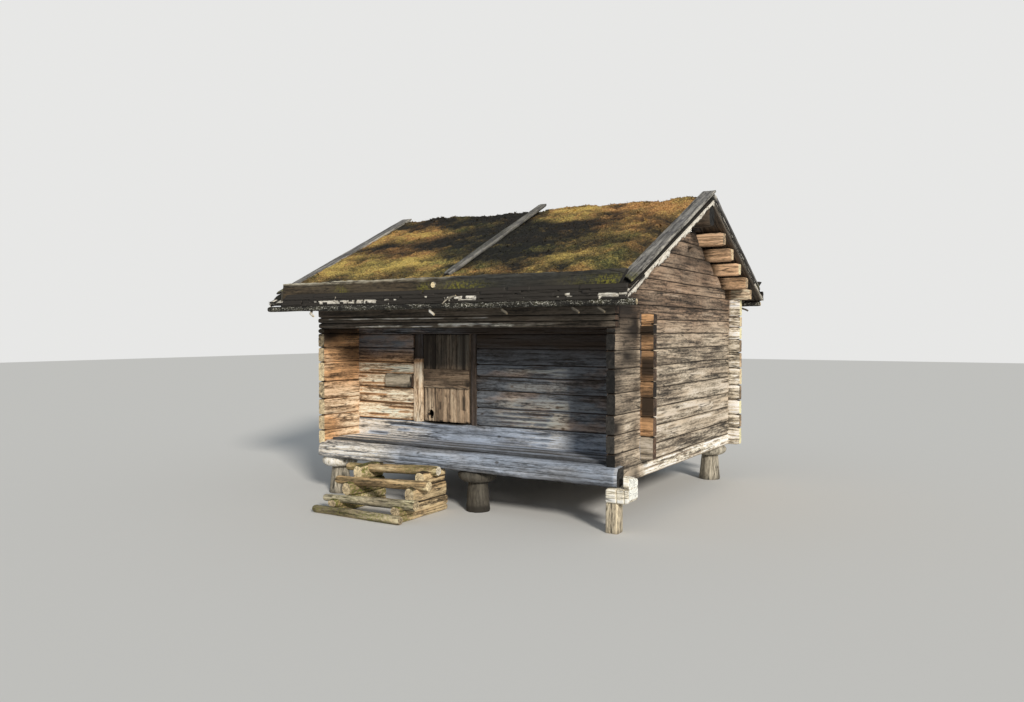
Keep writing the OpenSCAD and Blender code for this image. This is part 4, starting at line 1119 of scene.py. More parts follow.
def gable_bark(piece, side, sign, y_eave, front_side):
    """The band that hangs over a gable edge, torn and curled."""
    start, total = 0.0, abs(RIDGE_Y - y_eave)
    while start < total - 0.02:
        stop = min(start + rng.uniform(0.16, 0.4), total + 0.01)
        t = np.linspace(start, stop, 26)
        y = y_eave - sign * t
        low = 1 - start / total
        hang = (0.072 + 0.028 * low) * (1 + 0.35 * rng.uniform(-1, 1)) if front_side else 0.04
        torn = hang * (0.8 + 0.35 * wave(t * 3, start + 7.5, 0.14) + 0.2 * wave(t, start + 2.5, 0.02))
        torn = torn * (1 - 0.35 * rng.uniform(0, 1) * np.linspace(0, 1, 26)[:: rng.choice([-1, 1])])
        v = np.array([0.0, 0.25, 0.45, 0.6, 0.75, 0.9, 1.0])
        drop = unit((v - 0.25) / 0.75)
        curl = np.sin(drop * 2.4) * (0.018 + 0.016 * wave(t, start + 11.5, 0.2)[:, None])
        xs = X_RIGHT if side > 0 else X_LEFT
        xs = xs - side * (0.02 + 0.06 * (1 - unit(v / 0.25))) + side * curl
        zs = (top_at(y) + 0.008 * rng.uniform(0, 1))[:, None] - drop * torn[:, None]
        black = 0.3 * (drop > 0.8) + 0.45 * wave(t, start + 21.5, 0.07)[:, None] - 0.2
        black += 0.9 * (not front_side)
        turn = -1 if side * sign > 0 else 1
        ribbon(piece, points(xs, y[:, None], zs)[::turn], rng.uniform(0.2, 0.8), start * 7 + side,
               black[::turn])
        start = stop - rng.uniform(0.01, 0.05)


def bark_layers(name, sign, y_eave, turn):
    """Layers of bark on the boards, with torn edges along the eave and the gables."""
    piece = Piece(name + "_bark_layers")
    for layer in range(6):
        for x0 in np.arange(X_LEFT, X_RIGHT, 0.55):
            eave_bark(piece, layer, x0, sign, y_eave, turn)
    for row in range(6):
        torn_strips(piece, row, sign, y_eave)
    # one long sheet from the eave to the ridge, which the turf covers
    for part, (xa, xb) in enumerate(((X_LEFT + 0.004, 0.0), (0.0, X_RIGHT - 0.004))):
        xs, ys = np.linspace(xa, xb, 12)[:, None], np.linspace(y_eave, RIDGE_Y, 30)
        ribbon(piece, points(xs, ys, top_at(ys) - 0.004)[::turn], 0.5, 90 + part, thick=0.006)
    for side in (1, -1):
        gable_bark(piece, side, sign, y_eave, turn > 0)
    piece.make("birch_bark", [M_BARK], name + "_roof_bark")


bark_layers("front", -1.0, EAVE_Y, 1)
bark_layers("back", 1.0, BACK_Y, -1)


def turf_material():
    """Moss, lichen and dead grass. mix holds how brown, how straw-coloured and how light it is, and the
    lightness carries painted shade as well.
    """
    s = Shader("moss_turf")
    at, brown, straw, light, _ = s.attributes()
    fine = s.speckle(at, 48.0, 6.0, 0.75)
    grit = s.speckle(at, 150.0, 3.0, 0.7)
    patch = s.speckle(at, 7.0, 6.0, 0.68)
    warm = s.total(0.5, (brown, 1.0), (patch, 1.5), clamp=True)
    dry = s.total(0.5, (straw, 1.0), (patch, -0.8), (fine, 1.6), clamp=True)
    green = s.ramp(fine, (0.32, (0.012, 0.017, 0.006)), (0.5, (0.095, 0.095, 0.026)),
                   (0.66, (0.32, 0.29, 0.07)))
    rust = s.ramp(fine, (0.32, (0.04, 0.016, 0.005)), (0.5, (0.27, 0.13, 0.04)),
                  (0.66, (0.62, 0.36, 0.13)))
    yellow = s.ramp(grit, (0.35, (0.2, 0.14, 0.025)), (0.65, (0.68, 0.49, 0.14)))
    col = s.blend(warm, green, rust)
    col = s.blend(s.ramp(dry, (0.42, 0.0), (0.9, 0.9)), col, yellow)
    dark = s.total(0.5, (light, 1.25), (patch, 1.0), (fine, 0.8))
    col = s.blend(1.0, col, s.ramp(dark, (0.0, 0.04), (0.5, 0.54), (1.0, 1.6)), "MULTIPLY")
    return s.finish(col, 0.95, s.total(0.0, (fine, 1.0), (grit, 0.5), (patch, 1.0)), 0.016)


M_TURF = turf_material()
turf_lo, turf_hi = local_box("front_turf")
back_turf_y = local_box("back_turf")[1][1]
VERGE_W = 0.2
SOIL = 0.032
TUFTS, RIDGE_TUFTS, TALL_TUFTS = 17000, 2200, 260
EAVE_Z = plank_hi[2] - SOIL
BACK_EAVE_Z = local_box("back_eave_plank")[1][2] - SOIL
TURF_FALL = (turf_hi[2] - EAVE_Z) / (RIDGE_Y - turf_lo[1])
BACK_TURF_FALL = (turf_hi[2] - BACK_EAVE_Z) / (back_turf_y - RIDGE_Y)
# Patches of the moss: x, y, reach along x, reach along y, how brown, how straw-coloured, how light
PATCHES = (
    (0.74, 2.13, 0.45, 0.3, 0.85, 0.85, 0.95), (1.3, 2.2, 0.35, 0.18, 0.95, 0.45, 0.75),
    (2.1, 2.1, 0.55, 0.45, 1.0, 0.35, 0.9), (1.43, 1.6, 0.32, 0.45, 1.0, 0.05, 0.45),
    (2.01, 1.55, 0.3, 0.25, 0.95, 0.25, 0.55), (1.89, 1.18, 0.35, 0.22, 0.7, 0.45, 0.7),
    (1.56, 0.83, 0.3, 0.22, 0.3, 0.7, 0.75), (1.61, 0.24, 0.28, 0.22, 0.25, 0.9, 0.9),
    (2.02, 0.7, 0.3, 0.3, 0.25, 0.2, 0.45), (2.15, 0.1, 0.4, 0.28, 0.15, 0.4, 0.6),
    (0.65, 0.55, 0.65, 0.6, 0.0, 0.0, 0.0), (0.95, 1.2, 0.5, 0.4, 0.6, 0.05, 0.1),
    (0.3, 1.4, 0.38, 0.42, 0.15, 0.0, 0.02), (-0.9, 2.05, 0.8, 0.46, 0.15, 0.0, 0.03),
    (-1.85, 1.95, 0.4, 0.28, 0.95, 0.0, 0.25), (-1.12, 1.25, 0.35, 0.22, 0.95, 0.3, 0.5),
    (-1.7, 1.5, 0.45, 0.2, 0.9, 0.65, 0.95), (-1.63, 0.9, 0.6, 0.2, 0.9, 0.0, 0.38),
    (-2.35, 1.5, 0.3, 0.45, 0.9, 0.5, 0.9), (-0.3, 1.0, 0.45, 0.45, 0.1, 0.1, 0.12),
    (-0.89, 0.15, 0.55, 0.28, 0.2, 0.9, 0.95), (-2.22, 0.2, 0.45, 0.3, 0.45, 0.8, 0.9),
    (-1.55, 0.25, 0.35, 0.25, 0.3, 0.6, 0.75), (-0.2, 2.0, 0.35, 0.45, 0.4, 0.05, 0.08),
    (-0.52, 1.4, 0.42, 0.36, 0.25, 0.0, 0.05))


def turf_colours(p):
    warm = 0.5 + 0.45 * noise(p, (0.9, 1.6, 0.2), 21)
    straw = 0.35 + 0.35 * noise(p, (1.3, 2.4, 0.2), 22)
    light = 0.52 + 0.4 * noise(p, (1.1, 1.9, 0.2), 23)
    x, y = p[:, 0] + 0.1 * noise(p, 2.5, 26), p[:, 1] + 0.1 * noise(p, 2.5, 27)
    for x_mid, y_mid, rx, ry, w, q, g in PATCHES:
        k = np.exp(-(((x - x_mid) / rx) ** 2 + ((y - y_mid) / ry) ** 2))
        warm, straw, light = (a * (1 - k) + b * k for a, b in ((warm, w), (straw, q), (light, g)))
    light = 0.47 + 1.35 * (light - 0.5)
    out = points(warm + 0.3 * noise(p, (4, 6, 1), 24), straw + 0.25 * noise(p, (6, 9, 1), 28),
                 light + 0.42 * noise(p, (3, 6, 1), 25))
    return np.column_stack([unit(out), np.full(len(p), 0.5)])


def turf():
    piece = Piece("turf_roof")
    x0, x1 = turf_lo[0], turf_hi[0]
    y0, y1 = turf_lo[1], back_turf_y
    nx, ny = 270, 245
    gx, gy = np.meshgrid(np.linspace(x0, x1, nx), np.linspace(y0, y1, ny), indexing="ij")
    front = turf_hi[2] - TURF_FALL * (RIDGE_Y - gy)
    rear = turf_hi[2] - BACK_TURF_FALL * (gy - RIDGE_Y)
    soft = 0.05
    z = -soft * np.log(np.exp(-front / soft) + np.exp(-rear / soft)) + 0.01
    p = points(gx.ravel(), gy.ravel(), 0.0)
    clumps = 0.014 * noise(p, 8.0, 33) + 0.011 * noise(p, 20.0, 34) + 0.008 * noise(p, 37.0, 35)
    z = z + (0.022 * noise(p, 1.1, 31) + 0.018 * noise(p, 3.1, 32) + clumps).reshape(z.shape)
    clump_grid = clumps.reshape(z.shape)
    # thin below the verge boards at both ends
    edge = np.minimum(gx - x0, x1 - gx)
    z = np.minimum(z, top_at(gy) + 0.072 + 0.45 * np.maximum(edge - VERGE_W + 0.02, 0) + 0.5 * clump_grid)
    thin = unit((VERGE_W - 0.02 - edge) / 0.03)
    z = z * (1 - thin) + (top_at(gy) + 0.036) * thin
    z -= 0.02 * unit(1 - np.minimum(gy - y0, y1 - gy) / 0.05)
    pts, base = points(gx, gy, z), points(gx, gy, top_at(gy) + 0.002)
    verts = pts.reshape(-1, 3)
    colours = turf_colours(verts)
    # painted shade: the hollows are painted dark and the tops light, and what shows below the verge boards is
    # painted black as shadow
    colours[:, 2] = unit(colours[:, 2] + 11.0 * clumps) * (1 - 0.95 * thin.ravel())
    piece.add(verts, grid_faces(nx, ny, closed=False), verts, colours)
    # skirts down to the bark at the four sides, painted nearly black as shade
    for side, turn in ((np.s_[0], -1), (np.s_[-1], 1), (np.s_[:, 0], 1), (np.s_[:, -1], -1)):
        ring = np.stack([pts[side], base[side]])
        v = ring.reshape(-1, 3)
        faces = [q[::turn] for q in grid_faces(2, ring.shape[1], closed=False)]
        piece.add(v, faces, v, turf_colours(v) * np.array([1, 0.2, 0.05, 1]))
    # tufts of moss and grass
    tx = rng.uniform(x0 + VERGE_W + 0.01, x1 - VERGE_W - 0.01, TUFTS)
    ty = rng.uniform(y0 + 0.01, y1 - 0.01, TUFTS)
    ty[:RIDGE_TUFTS] = RIDGE_Y + rng.normal(0, 0.08, RIDGE_TUFTS)
    ix = np.clip(((tx - x0) / (x1 - x0) * (nx - 1)).round().astype(int), 0, nx - 1)
    iy = np.clip(((ty - y0) / (y1 - y0) * (ny - 1)).round().astype(int), 0, ny - 1)
    root = points(tx, ty, z[ix, iy] - 0.003)
    tall = rng.uniform(0.007, 0.02, TUFTS)
    tall[rng.integers(0, TUFTS, TALL_TUFTS)] *= 2.4
    for _ in range(2):
        turn = rng.uniform(0, 2 * math.pi, TUFTS)
        side = points(-np.sin(turn), np.cos(turn), 0.0) * (0.45 * tall)[:, None]
        tip = root + points(np.cos(turn), np.sin(turn), 1.0) * (tall * 0.8)[:, None]
        v = np.stack([root - side, root + side, tip], axis=1).reshape(-1, 3)
        colours = turf_colours(v)
        # the tufts take the painted shade of the hollows, and their tips are lighter
        colours[:, 2] = unit(colours[:, 2] + np.repeat(11.0 * clump_grid[ix, iy], 3))
        colours[2::3, 2] = unit(colours[2::3, 2] + 0.25)
        piece.add(v, np.arange(3 * TUFTS).reshape(-1, 3), v, colours)
    piece.make("turf", [M_TURF], "front_turf", "back_turf")


turf()
STUB_X, STUB_Z = 0.1, 2.852


def eave_plank(node, out):
    """The hewn plank that holds the turf along an eave; out is -1 for the front one."""
    piece = Piece(node + "_hewn")
    lo, hi = local_box(node)
    n = 150
    s = np.linspace(lo[0], hi[0], n)
    t = (hi[1] - lo[1]) / 2
    z0 = float(top_at(lo[1] if out < 0 else hi[1])) + 0.003
    h = hi[2] - z0
    share = np.array([0.0, 0.15, 0.35, 0.55, 0.75, 0.9, 0.96, 1.0])
    outer = [(t + 0.004 * math.sin(v * 3.1), v * h) for v in share]
    base = np.array(outer + [(t / 2, h + 0.004), (-t / 2, h + 0.002)] + [(-t, v * h) for v in share[::-2]])
    section = repeated(base, n)
    top = base[:, 1] > 0.8 * h
    section[:, top, 1] += (0.01 * wave(s, 2.5, 0.5) + 0.008 * wave(s, 6.5, 0.06) - 0.01)[:, None]

    def moss(p):
        low = sum(0.9 * np.exp(-((p[:, 0] - x) / reach) ** 2)
                  for x, reach in ((0.5, 0.3), (2.35, 0.3), (-1.45, 0.12), (-0.05, 0.12)))
        low = unit(low * step_up(z0 + 0.72 * h - p[:, 2], -0.03, 0.04))
        return low * (0.7 + 0.6 * noise(p, (5, 5, 12), 53))

    def frayed(p):
        edge = step_up(p[:, 2] + 0.01 * noise(p, (14, 1, 1), 54), hi[2] - 0.042, hi[2] - 0.022)
        right = step_up(p[:, 0], 0.0, 0.5)
        return 0.1 + 0.3 * right + 0.3 * noise(p, (1.3, 3, 14), 55) - 0.9 * (1 - 0.6 * right) * edge

    sweep(piece, points(s, (hi[1] + lo[1]) / 2, z0), section, (0, out, 0), moss=moss, dark=frayed, seed=700,
          grey=lambda p: 0.2 + 0.7 * step_up(p[:, 0], -0.6, 0.6), rough=0.006)
    for arr in piece.verts:
        # the right end is cut aslant
        q = arr - SHIFT
        cut = hi[0] - 0.6 * h * unit(1 - (q[:, 2] - z0) / (0.95 * h))
        arr[:, 0] = np.minimum(q[:, 0], cut) + SHIFT[0]
    if out < 0:
        # a branch stub on the face and an upright peg at the left end
        sweep(piece, points(STUB_X, lo[1] + np.array([0.01, -0.012, -0.026]), STUB_Z), oval(0.036, 0.038, 16),
              **INWARDS, tone=0.9, grey=0.9, seed=8, rough=0.005, bevel=0.005, dark=-0.7, mats=(0, 2, 2))
        z = np.linspace(lo[2] - 0.03, lo[2] + 0.15, 8)
        sweep(piece, points(lo[0] - 0.045 + 0.05 * (z - lo[2]), lo[1] + 0.035, z), oval(0.026, 0.024, 12),
              **UPRIGHT, tone=0.6, grey=0.7, seed=9, rough=0.004)
    piece.make("eave_wood", [M_EAVE, M_ENDS_GREY, M_STEP_END], node)


eave_plank("front_eave_plank", -1)
eave_plank("back_eave_plank", 1)


def rough_bark():
    """Dark pole with grey and white lichen and green moss."""
    s = Shader("pole_bark")
    at = s.attributes()[0]
    big = s.grain(at, 6.0, 14.0, 5.0, 0.7)
    fine = s.speckle(at, 70.0, 4.0, 0.7)
    col = s.ramp(big, (0.35, (0.005, 0.004, 0.003)), (0.5, (0.016, 0.014, 0.009)),
                 (0.62, (0.045, 0.041, 0.022)))
    white = s.math("MULTIPLY", s.ramp(fine, (0.56, 0.0), (0.61, 1.0)), s.ramp(big, (0.44, 0.05), (0.56, 1.0)))
    return s.finish(s.blend(white, col, (0.78, 0.75, 0.66)), 0.9, s.math("ADD", big, fine), 0.006)


M_POLE = rough_bark()


def pole(node):
    piece = Piece(node + "_bark")
    lo, hi = local_box(node)
    s = np.linspace(lo[0], hi[0], 150)
    size = (hi[2] - lo[2]) / 2 * (0.93 + 0.05 * wave(s, 13.5, 0.25))
    _, y, z = (lo + hi) / 2
    sweep(piece, points(s, y + 0.002 * wave(s, 2.5, 0.8), z + 0.003 * wave(s, 3.5, 0.9)), circles(size, 18),
          seed=710, rough=0.004, dark=-0.1)
    piece.make("eave_wood", [M_POLE, M_STEP_END], node)


pole("front_eave_pole")
pole("back_eave_pole")


def hooks():
    """Crooked branches that come down behind each pole and turn up in front of it."""
    piece = Piece("eave_hook_branches")
    for k, share in enumerate((-0.852, 0.026, 0.48, 0.88, 1.013)):
        for sign, node in ((1, "front_eave_pole"), (-1, "back_eave_pole")):
            lo, hi = local_box(node)
            y, z, r = (lo[1] + hi[1]) / 2, (lo[2] + hi[2]) / 2, (hi[2] - lo[2]) / 2
            path = [(-0.07, r + 0.026, r + 0.05), (-0.06, r + 0.024, 0.02), (-0.045, r + 0.02, -r * 0.6),
                    (-0.02, 0.022, -r - 0.018), (0.02, -0.03, -r - 0.03), (0.07, -r - 0.01, -r - 0.05),
                    (0.1, -r - 0.014, -r - 0.07)]
            path = np.array(path) * (1, sign, 1) + (share * HALF - 0.02, y, z)
            t = np.linspace(0, len(path) - 1, 22)
            smooth = np.stack([np.interp(t, range(len(path)), path[:, i]) for i in range(3)], axis=1)
            smooth[1:-1] = (smooth[:-2] + smooth[1:-1] + smooth[2:]) / 3
            d = np.gradient(smooth, axis=0)
            d /= np.linalg.norm(d, axis=1, keepdims=True)
            across = np.cross(d, (1.0, 0.0, 0.0))
            across /= np.linalg.norm(across, axis=1, keepdims=True)
            tip = -0.7 if k < 2 else 0.75
            sweep(piece, smooth, circles(np.linspace(0.018, 0.014, 22), 12), across, np.cross(d, across),
                  seed=900 + k, tone=0.6, grey=0.4, bevel=0.003,
                  dark=lambda p: np.where(p[:, 2] < z - r * 0.4, tip, 0.5))
    # a pale twig that stands up in front of the bark
    lo, hi = local_box("front_eave_pole")
    twig = np.array([(0.26, -0.01, 0.02), (0.31, -0.014, 0.062), (0.38, -0.016, 0.098),
                     (0.46, -0.012, 0.118)]) + (0.0, lo[1], (lo[2] + hi[2]) / 2)
    sweep(piece, twig, oval(0.011, 0.011, 10), up=(-0.6, 0, 0.8), seed=950, tone=0.6, grey=0.4, dark=-0.6,
          rough=0.002, bevel=0.003)
    piece.make("eave_wood", [M_POST, M_STEP_END], "eave_hooks")


hooks()


def verge(side):
    """Two wide boards along a roof edge; the back one crosses over the front one at the ridge."""
    piece = Piece(side + "_verge_planks")
    lo, hi = local_box(side + "_verge_boards")
    x, y0, y1 = (lo[0] + hi[0]) / 2, lo[1], hi[1]
    z0, zb = (float(top_at(y)) + 0.046 for y in (y0 + 0.001, y1))
    zr = RIDGE_Z + 0.071
    n = 90
    w = (hi[0] - lo[0]) - 0.01
    base = plank(w, 0.036, 0.008, 7)
    for i, (ya, za, zc, extra) in enumerate(((y0, z0, zr, 0.105), (y1, zb, zr - 0.01, -0.02))):
        a, b = np.array([x, ya, za]), np.array([x, RIDGE_Y, zc])
        d = (b - a) / np.linalg.norm(b - a)
        t = np.linspace(0.004, np.linalg.norm(b - a) + extra, n)
        up = np.cross((1, 0, 0), d)
        up = up if up[2] > 0 else -up
        section = repeated(base, n)
        section[..., 0] *= (1 - 0.08 * unit(1 - t / 0.25) + 0.014 * wave(t, 4.5 + i, 0.3))[:, None]
        section[..., 1] += (0.004 * (2 * base[None, :, 0] / w) ** 2) + 0.003 * wave(t, 6.5 + i, 0.6)[:, None]
        slide = np.zeros(section.shape[:2])
        broken = 0.5 - np.sign(x) * base[:, 0] / w
        broken = 0.05 + 0.03 * wave(base[:, 0], 3.3 + i, 0.03) + 0.17 * (1 - i) * broken
        slide[:14] = np.linspace(1, 0, 14)[:, None] * broken

        def rot_and_edge_highlights(p):
            foot = unit(1 - np.linalg.norm(p - a, axis=1) / 0.42)
            edge = np.abs(np.abs(p[:, 0] - x) - w / 2) < 0.012
            spots = 0.9 * foot * (0.4 + 0.9 * noise(p, (22, 22, 22), 57))
            # rot spots at the foot, painted highlights along both long edges, and the board past the ridge
            # darker
            return spots + 0.25 * noise(p, (6, 2, 2), 56) - 0.45 * edge + 0.6 * (p[:, 1] > RIDGE_Y + 0.1)

        sweep(piece, a + d * t[:, None], section, (1 if d[1] > 0 else -1, 0, 0), up, grey=0.8, seed=720 + i,
              moss=lambda p: 0.9 * unit(1.1 - np.linalg.norm(p - a, axis=1) / 0.3), slide=slide, dark=rot_and_edge_highlights)
    piece.make("roof_board_wood", [M_BOARD, M_ENDS_GREY], side + "_verge_boards")


verge("right")
verge("left")


def loose_boards():
    """Narrow boards on the turf, following its surface, a little askew."""
    piece = Piece("middle_roof_planks")
    t = np.linspace(0, 1, 50)
    for i, (xa, xb, ya, yb, fall, eave, edge) in enumerate((
            (0.205, 0.01, turf_lo[1] + 0.05, RIDGE_Y + 0.01, TURF_FALL, EAVE_Z, turf_lo[1]),
            (0.135, 0.01, back_turf_y - 0.02, RIDGE_Y + 0.13, BACK_TURF_FALL, BACK_EAVE_Z, back_turf_y))):
        y = ya + (yb - ya) * t
        centre = points(xa + (xb - xa) * t, y, eave + fall * np.abs(y - edge) + 0.018 + 0.026 * t)
        d = centre[-1] - centre[0]
        d /= np.linalg.norm(d)
        side = np.cross(d, (0, 0, 1))
        side /= np.linalg.norm(side)
        section = repeated(plank(0.112, 0.042), 50)
        section[..., 0] *= (1 - 0.25 * unit(1 - t / 0.06))[:, None]
        sweep(piece, centre, section, side, np.cross(side, d), tone=0.55, grey=0.9, moss=0.12, seed=730 + i,
              dark=lambda p: 0.1 + 0.3 * noise(p, (6, 2, 2), 56))
    piece.make("roof_board_wood", [M_BOARD, M_ENDS_GREY], "middle_roof_boards")


loose_boards()

CAP_R = 0.26
POST_R = 0.18
MIDDLE_X = 0.3
FOOT_R, HEAD_R = 0.158, 0.118


def round_post(piece, x, y, foot, top, seed, added_dark):
    n, m = 22, 48
    z = np.linspace(foot, top, n)
    r = FOOT_R - (FOOT_R - HEAD_R) * z / top - 0.004 * wave(z, seed + 0.5, 0.15)
    t = np.linspace(0, 2 * math.pi, m, endpoint=False)
    split = unit(np.cos(t - seed) * 40 - 39.2) + unit(np.cos(t - 2.4 * seed) * 60 - 59.3)
    dent = 1 - 0.05 * unit(np.cos(3 * t + seed) - 0.75) - 0.07 * split
    section = oval(1, 1, m)[None] * (r[:, None] * dent[None])[..., None]
    # darker towards the foot
    darker_foot = 0.45 * unit(1 - z / 0.1)[:, None]
    sweep(piece, points(x, y, z), section, **POST, grey=0.7, seed=740 + seed, rough=0.005,
          dark=np.maximum(darker_foot + added_dark, 0.9 * split))


def cap(piece, x, y, z0, z1, seed, dark):
    profile = np.array([(0.77, 0.0), (0.87, 0.12), (0.95, 0.26), (0.99, 0.45), (1.0, 0.6), (0.96, 0.78),
                        (0.9, 0.9), (0.77, 1.0)])
    rad = profile[:, 0] * CAP_R * 0.985
    t = np.linspace(0, 2 * math.pi, 56, endpoint=False)
    dent = 1 - 0.03 * (1 + np.sin(3 * t + seed * 2.1)) / 2 - 0.02 * (1 + np.sin(7 * t + seed)) / 2
    split = unit(np.cos(t - 1.7 * seed) * 60 - 59.2)
    section = oval(1, 1, 56)[None] * (rad[:, None] * (dent - 0.06 * split)[None])[..., None]
    if dark >= 0:
        dark = np.tile(np.maximum(dark, 0.9 * split), len(profile))
    sweep(piece, points(x, y, z0 + profile[:, 1] * (z1 - z0)), section, **POST, tone=0.6, grey=0.7,
          seed=760 + seed, rough=0.005, bevel=0.002, dark=dark)


def stand(build, name, node, *looks):
    """Round posts or their caps: one in the middle of its box, or the three at the back."""
    piece = Piece(name)
    lo, hi = local_box(node)
    r = POST_R if build is round_post else CAP_R
    places = ((lo[0] + r, lo[1] + r), (MIDDLE_X, hi[1] - r), (hi[0] - r, lo[1] + r))
    if len(looks) == 1:
        places = [(lo + hi)[:2] / 2]
    for (x, y), (seed, dark) in zip(places, looks):
        build(piece, x, y, lo[2], hi[2], seed, dark)
    piece.make("post_wood", POST_LOOK, node)


stand(round_post, "front_left_post_log", "front_left_post", (1, 0.0))
# the middle post is painted dark, 0.85, as the deep shade under the porch
stand(round_post, "front_middle_post_log", "front_middle_post", (2, 0.85))
stand(round_post, "back_post_logs", "back_posts", (5, 0.0), (6, 0.0), (7, 0.0))
stand(cap, "front_left_cap_disc", "front_left_cap", (11, -0.8))
# its cap is painted dark, 0.85, as the same shade
stand(cap, "front_middle_cap_disc", "front_middle_cap", (12, 0.85))
stand(cap, "back_cap_discs", "back_caps", (14, 0.0), (15, 0.0), (16, 0.0))


def square_post():
    """The hewn post at the right front corner, and the block on it with its upstand."""
    piece = Piece("front_right_post_hewn")
    lo, hi = local_box("front_right_post")
    n, middle = 24, 15
    z = np.linspace(lo[2], hi[2], n)
    base = plank(hi[0] - lo[0], hi[1] - lo[1], 0.016, 9)
    base[middle, 1] -= 0.012
    section = repeated(base, n)
    section[..., 0] *= (1 - 0.07 * (z - lo[2]) / (hi[2] - lo[2]))[:, None]
    shadow = np.zeros((n, len(base)))
    shadow[:, middle] = 0.9 * step_up(wave(z, 3.7, 0.12), -0.5, 0.0)
    sweep(piece, points((lo[0] + hi[0]) / 2, hi[1], z), section, **UPRIGHT, grey=0.3, seed=800, rough=0.004,
          dark=np.maximum(shadow, 0.35 * unit(1 - z / 0.08)[:, None]))
    piece.make("post_wood", [M_CREAM, M_CREAM_END], "front_right_post")
    piece = Piece("front_right_cap_hewn")
    lo, hi = local_box("front_right_cap")
    h, y, deep = 0.175, (lo[1] + hi[1]) / 2, hi[1] - lo[1]
    s = np.linspace(lo[0], hi[0], 40)
    share = (s - s[0]) / (s[-1] - s[0])
    base = plank(deep, h, 0.018, 6)
    section = repeated(base, 40)
    section[..., 1] = np.minimum(section[..., 1], h - 0.035 * unit(1 - share / 0.16)[:, None] ** 2)
    section[..., 1] = np.maximum(section[..., 1], 0.045 * unit((share - 0.82) / 0.18)[:, None] ** 2)
    groove = (np.exp(-((share - 0.47) / 0.022) ** 2) + np.exp(-((share - 0.8) / 0.018) ** 2))[:, None]
    front = base[:, 0] > deep / 2 - 0.02
    section[:, front, 0] -= 0.016 * groove
    sweep(piece, points(s, y, lo[2]), section, tone=0.7, grey=0.4, seed=801, rough=0.005,
          dark=0.9 * groove * front - 0.8)
    s = np.linspace(hi[0] - 0.07, hi[0], 12)
    tall = hi[2] - lo[2] - h + 0.004
    base = plank(deep, tall, 0.012, 6)
    section = repeated(base, 12)
    lean = (base[None, :, 0] / deep - 0.5) * 0.05 - 0.02 * np.linspace(0, 1, 12)[:, None]
    section[..., 1] += np.where(base[None, :, 1] > tall / 2, lean, 0)
    sweep(piece, points(s, y, lo[2] + h - 0.004), section, tone=0.7, grey=0.4, seed=802, rough=0.004,
          dark=-0.8)
    piece.make("post_wood", [M_CREAM, M_CREAM_END], "front_right_cap")


square_post()

# The round steps: left end, right end (x, z), y, and how thin the left end is
TREADS = (((-1.559, 0.471), (-0.029, 0.525), -0.2, 0.76), ((-1.467, 0.342), (0.047, 0.387), -0.5, 0.8),
          ((-1.397, 0.18), (0.087, 0.205), -0.8, 0.62), ((-1.4175, 0.06), (-0.0175, 0.06), -0.96, 0.82))
TREAD_LOOKS = ((0.5, 0.15, 0.45, -0.1), (0.6, 0.0, 0.15, 0.1), (0.45, 0.9, 0.35, 0.2), (0.4, 0.6, 0.6, 0.35))
TREAD_R = 0.0595
# The stacks under them: left face, levels, and where each log starts in front
STACKS = (((-0.2295, -0.2295, -0.2455, -0.2695), (0.0, 0.075, 0.19, 0.371, 0.525)),
          ((-1.2615, -1.2615, -1.2775, -1.3015), (0.0, 0.075, 0.173, 0.34, 0.525)))
STACK_FRONT = (-0.9, -0.9, -0.62, -0.38)
STACK_W = 0.16


def steps():
    piece = Piece("step_tread_logs")
    t = np.linspace(0, 1, 60)
    for i, (((x0, za), (x1, zb), y, thin), (tone, grey, moss, dark)) in enumerate(zip(TREADS, TREAD_LOOKS)):
        s = x0 + (x1 - x0) * t
        size = (TREAD_R if i == 3 else 0.07) * (thin + (1 - thin) * t)
        size = size * (0.96 + 0.04 * wave(s, 14.5 + i, 0.25))
        centre = points(s, y + 0.006 * wave(s, 6.5 + i, 0.8), za + (zb - za) * t - TREAD_R + size)
        sweep(piece, centre, oval(1, 0.98, 24)[None] * size[:, None, None], tone=tone, grey=grey,
              seed=810 + i, rough=0.006, bevel=0.008, moss=lambda p: moss * (0.5 + 0.8 * noise(p, 4.2, 51)),
              dark=lambda p: dark + 0.55 * noise(p, (2.5, 14, 14), 59) - 0.5 * step_up(p[:, 0], -0.1, 0.04),
              mats=(0, 1, 2 if i == 0 else 1))
    piece.make("step_wood", [M_STEP, M_STEP_END, M_CREAM_END], "step_treads")
    piece = Piece("step_side_logs")
    n = 40
    for stack, (lefts, levels) in enumerate(STACKS):
        for i, y0 in enumerate(STACK_FRONT):
            s = np.linspace(y0, 0.06, n)
            h = levels[i + 1] - levels[i]
            # round at the cut end in front, flattened where the logs lie on each other
            powers = 2.3 + 2.2 * unit((s - y0) / 0.22)
            section = np.stack([oval(STACK_W / 2 - 0.002, h / 2 + 0.004, 26, v) for v in powers])
            between_logs = np.tile(0.95 * (np.abs(section[-1, :, 1]) > h * 0.47), n)

            def dark(p):
                pale = 0.12 - 0.22 * step_up(p[:, 1], -0.6, -0.2) + 0.4 * noise(p, (6, 2, 14), 60)
                return over(pale, between_logs)

            sweep(piece, points(lefts[i] + STACK_W / 2, s, levels[i] + h / 2), section, **INWARDS,
                  tone=0.5 + 0.1 * i, grey=0.25, seed=830 + i + 7 * stack, rough=0.005, bevel=0.01, dark=dark,
                  moss=lambda p: 0.7 if stack else 0.6 * step_up(-p[:, 1], 0.55, 0.8))
    piece.make("step_wood", [M_STEP, M_STEP_END], "step_sides")


steps()

for node, material in (("room_floor", M_FLOOR), ("floor_joists", M_JOIST), ("front_purlins", M_FLOOR)):
    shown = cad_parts[node].data.materials
    shown.clear()
    shown.append(material)


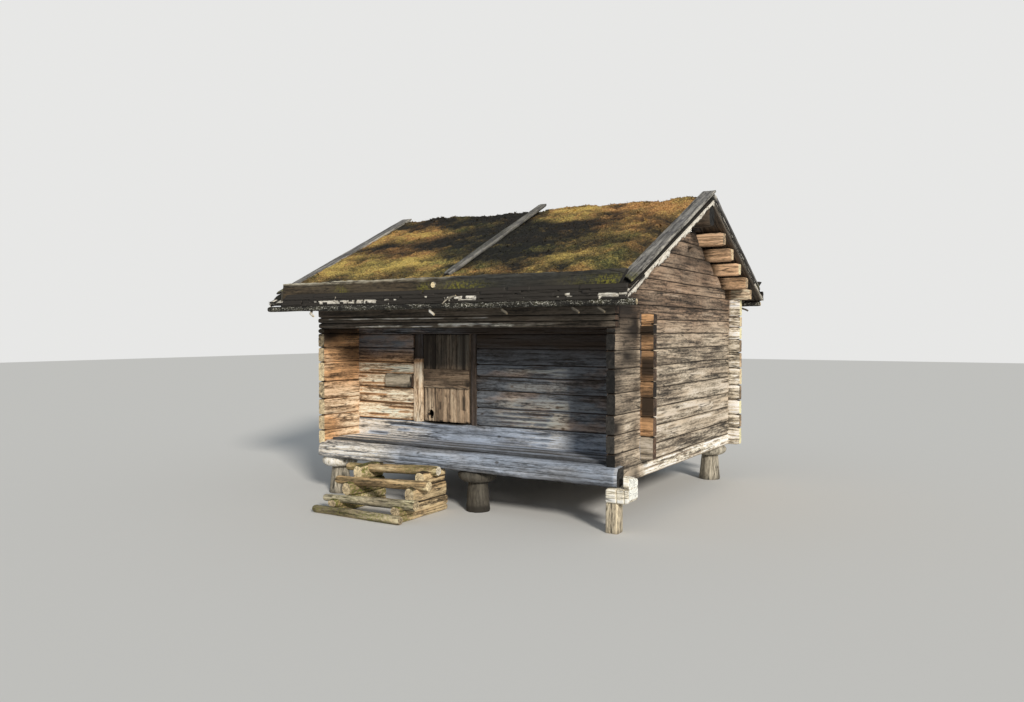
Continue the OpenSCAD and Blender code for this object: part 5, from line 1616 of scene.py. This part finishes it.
# Floor, light and camera
FLOOR_REACH = 60.0
floor_mesh = bpy.data.meshes.new("floor")
corners = [(x * FLOOR_REACH, y * FLOOR_REACH, 0) for x, y in ((-1, -1), (1, -1), (1, 1), (-1, 1))]
floor_mesh.from_pydata(corners, [], [(0, 1, 2, 3)])
floor = placed("floor", floor_mesh)
floor.location = (0, 0, cad_size[0][2] - 0.0005)
floor_mesh.materials.append(Shader("pale_floor").surface("BsdfDiffuse", Color=(0.72, 0.71, 0.69, 1.0)))

world = bpy.data.worlds.new("studio")
bpy.context.scene.world = world
world.use_nodes = True
tree = world.node_tree
tree.nodes.clear()
rays, light, seen, mixer, out = (tree.nodes.new("ShaderNode" + kind) for kind in (
    "LightPath", "Background", "Background", "MixShader", "OutputWorld"))
for background, colour, strength in ((light, (0.85, 0.93, 1.0, 1), 0.38), (seen, (0.8, 0.8, 0.79, 1), 1.0)):
    background.inputs[0].default_value = colour
    background.inputs[1].default_value = strength
for i, source in enumerate((rays.outputs["Is Camera Ray"], light.outputs[0], seen.outputs[0])):
    tree.links.new(source, mixer.inputs[i])
tree.links.new(mixer.outputs[0], out.inputs[0])

sun = bpy.data.lights.new("key", "SUN")
sun.energy = 3.0
sun.angle = math.radians(10)
sun.color = (1.0, 0.95, 0.865)
placed("key", sun).rotation_euler = Vector((-0.72, 0.56, -0.43)).to_track_quat("-Z", "Y").to_euler()

# The camera, as fitted to the photograph
CAMERA_AT = (6.167, -8.43, 2.274)
FOCAL_PIXELS = 818.54
PICTURE_WIDTH = 1024
SENSOR_MM = 36.0
cam_data = bpy.data.cameras.new("camera")
cam_data.sensor_width = SENSOR_MM
cam_data.lens = FOCAL_PIXELS / PICTURE_WIDTH * SENSOR_MM
cam = placed("camera", cam_data)
yaw, pitch, roll = (math.radians(v) for v in (31.821, -1.293, -0.043))
cam.matrix_world = (Matrix.Translation(Vector(np.array(CAMERA_AT) + SHIFT)) @ Matrix.Rotation(yaw, 4, "Z")
                    @ Matrix.Rotation(math.pi / 2 + pitch, 4, "X") @ Matrix.Rotation(roll, 4, "Z"))
bpy.context.scene.camera = cam
bpy.context.scene.view_settings.view_transform = "Standard"
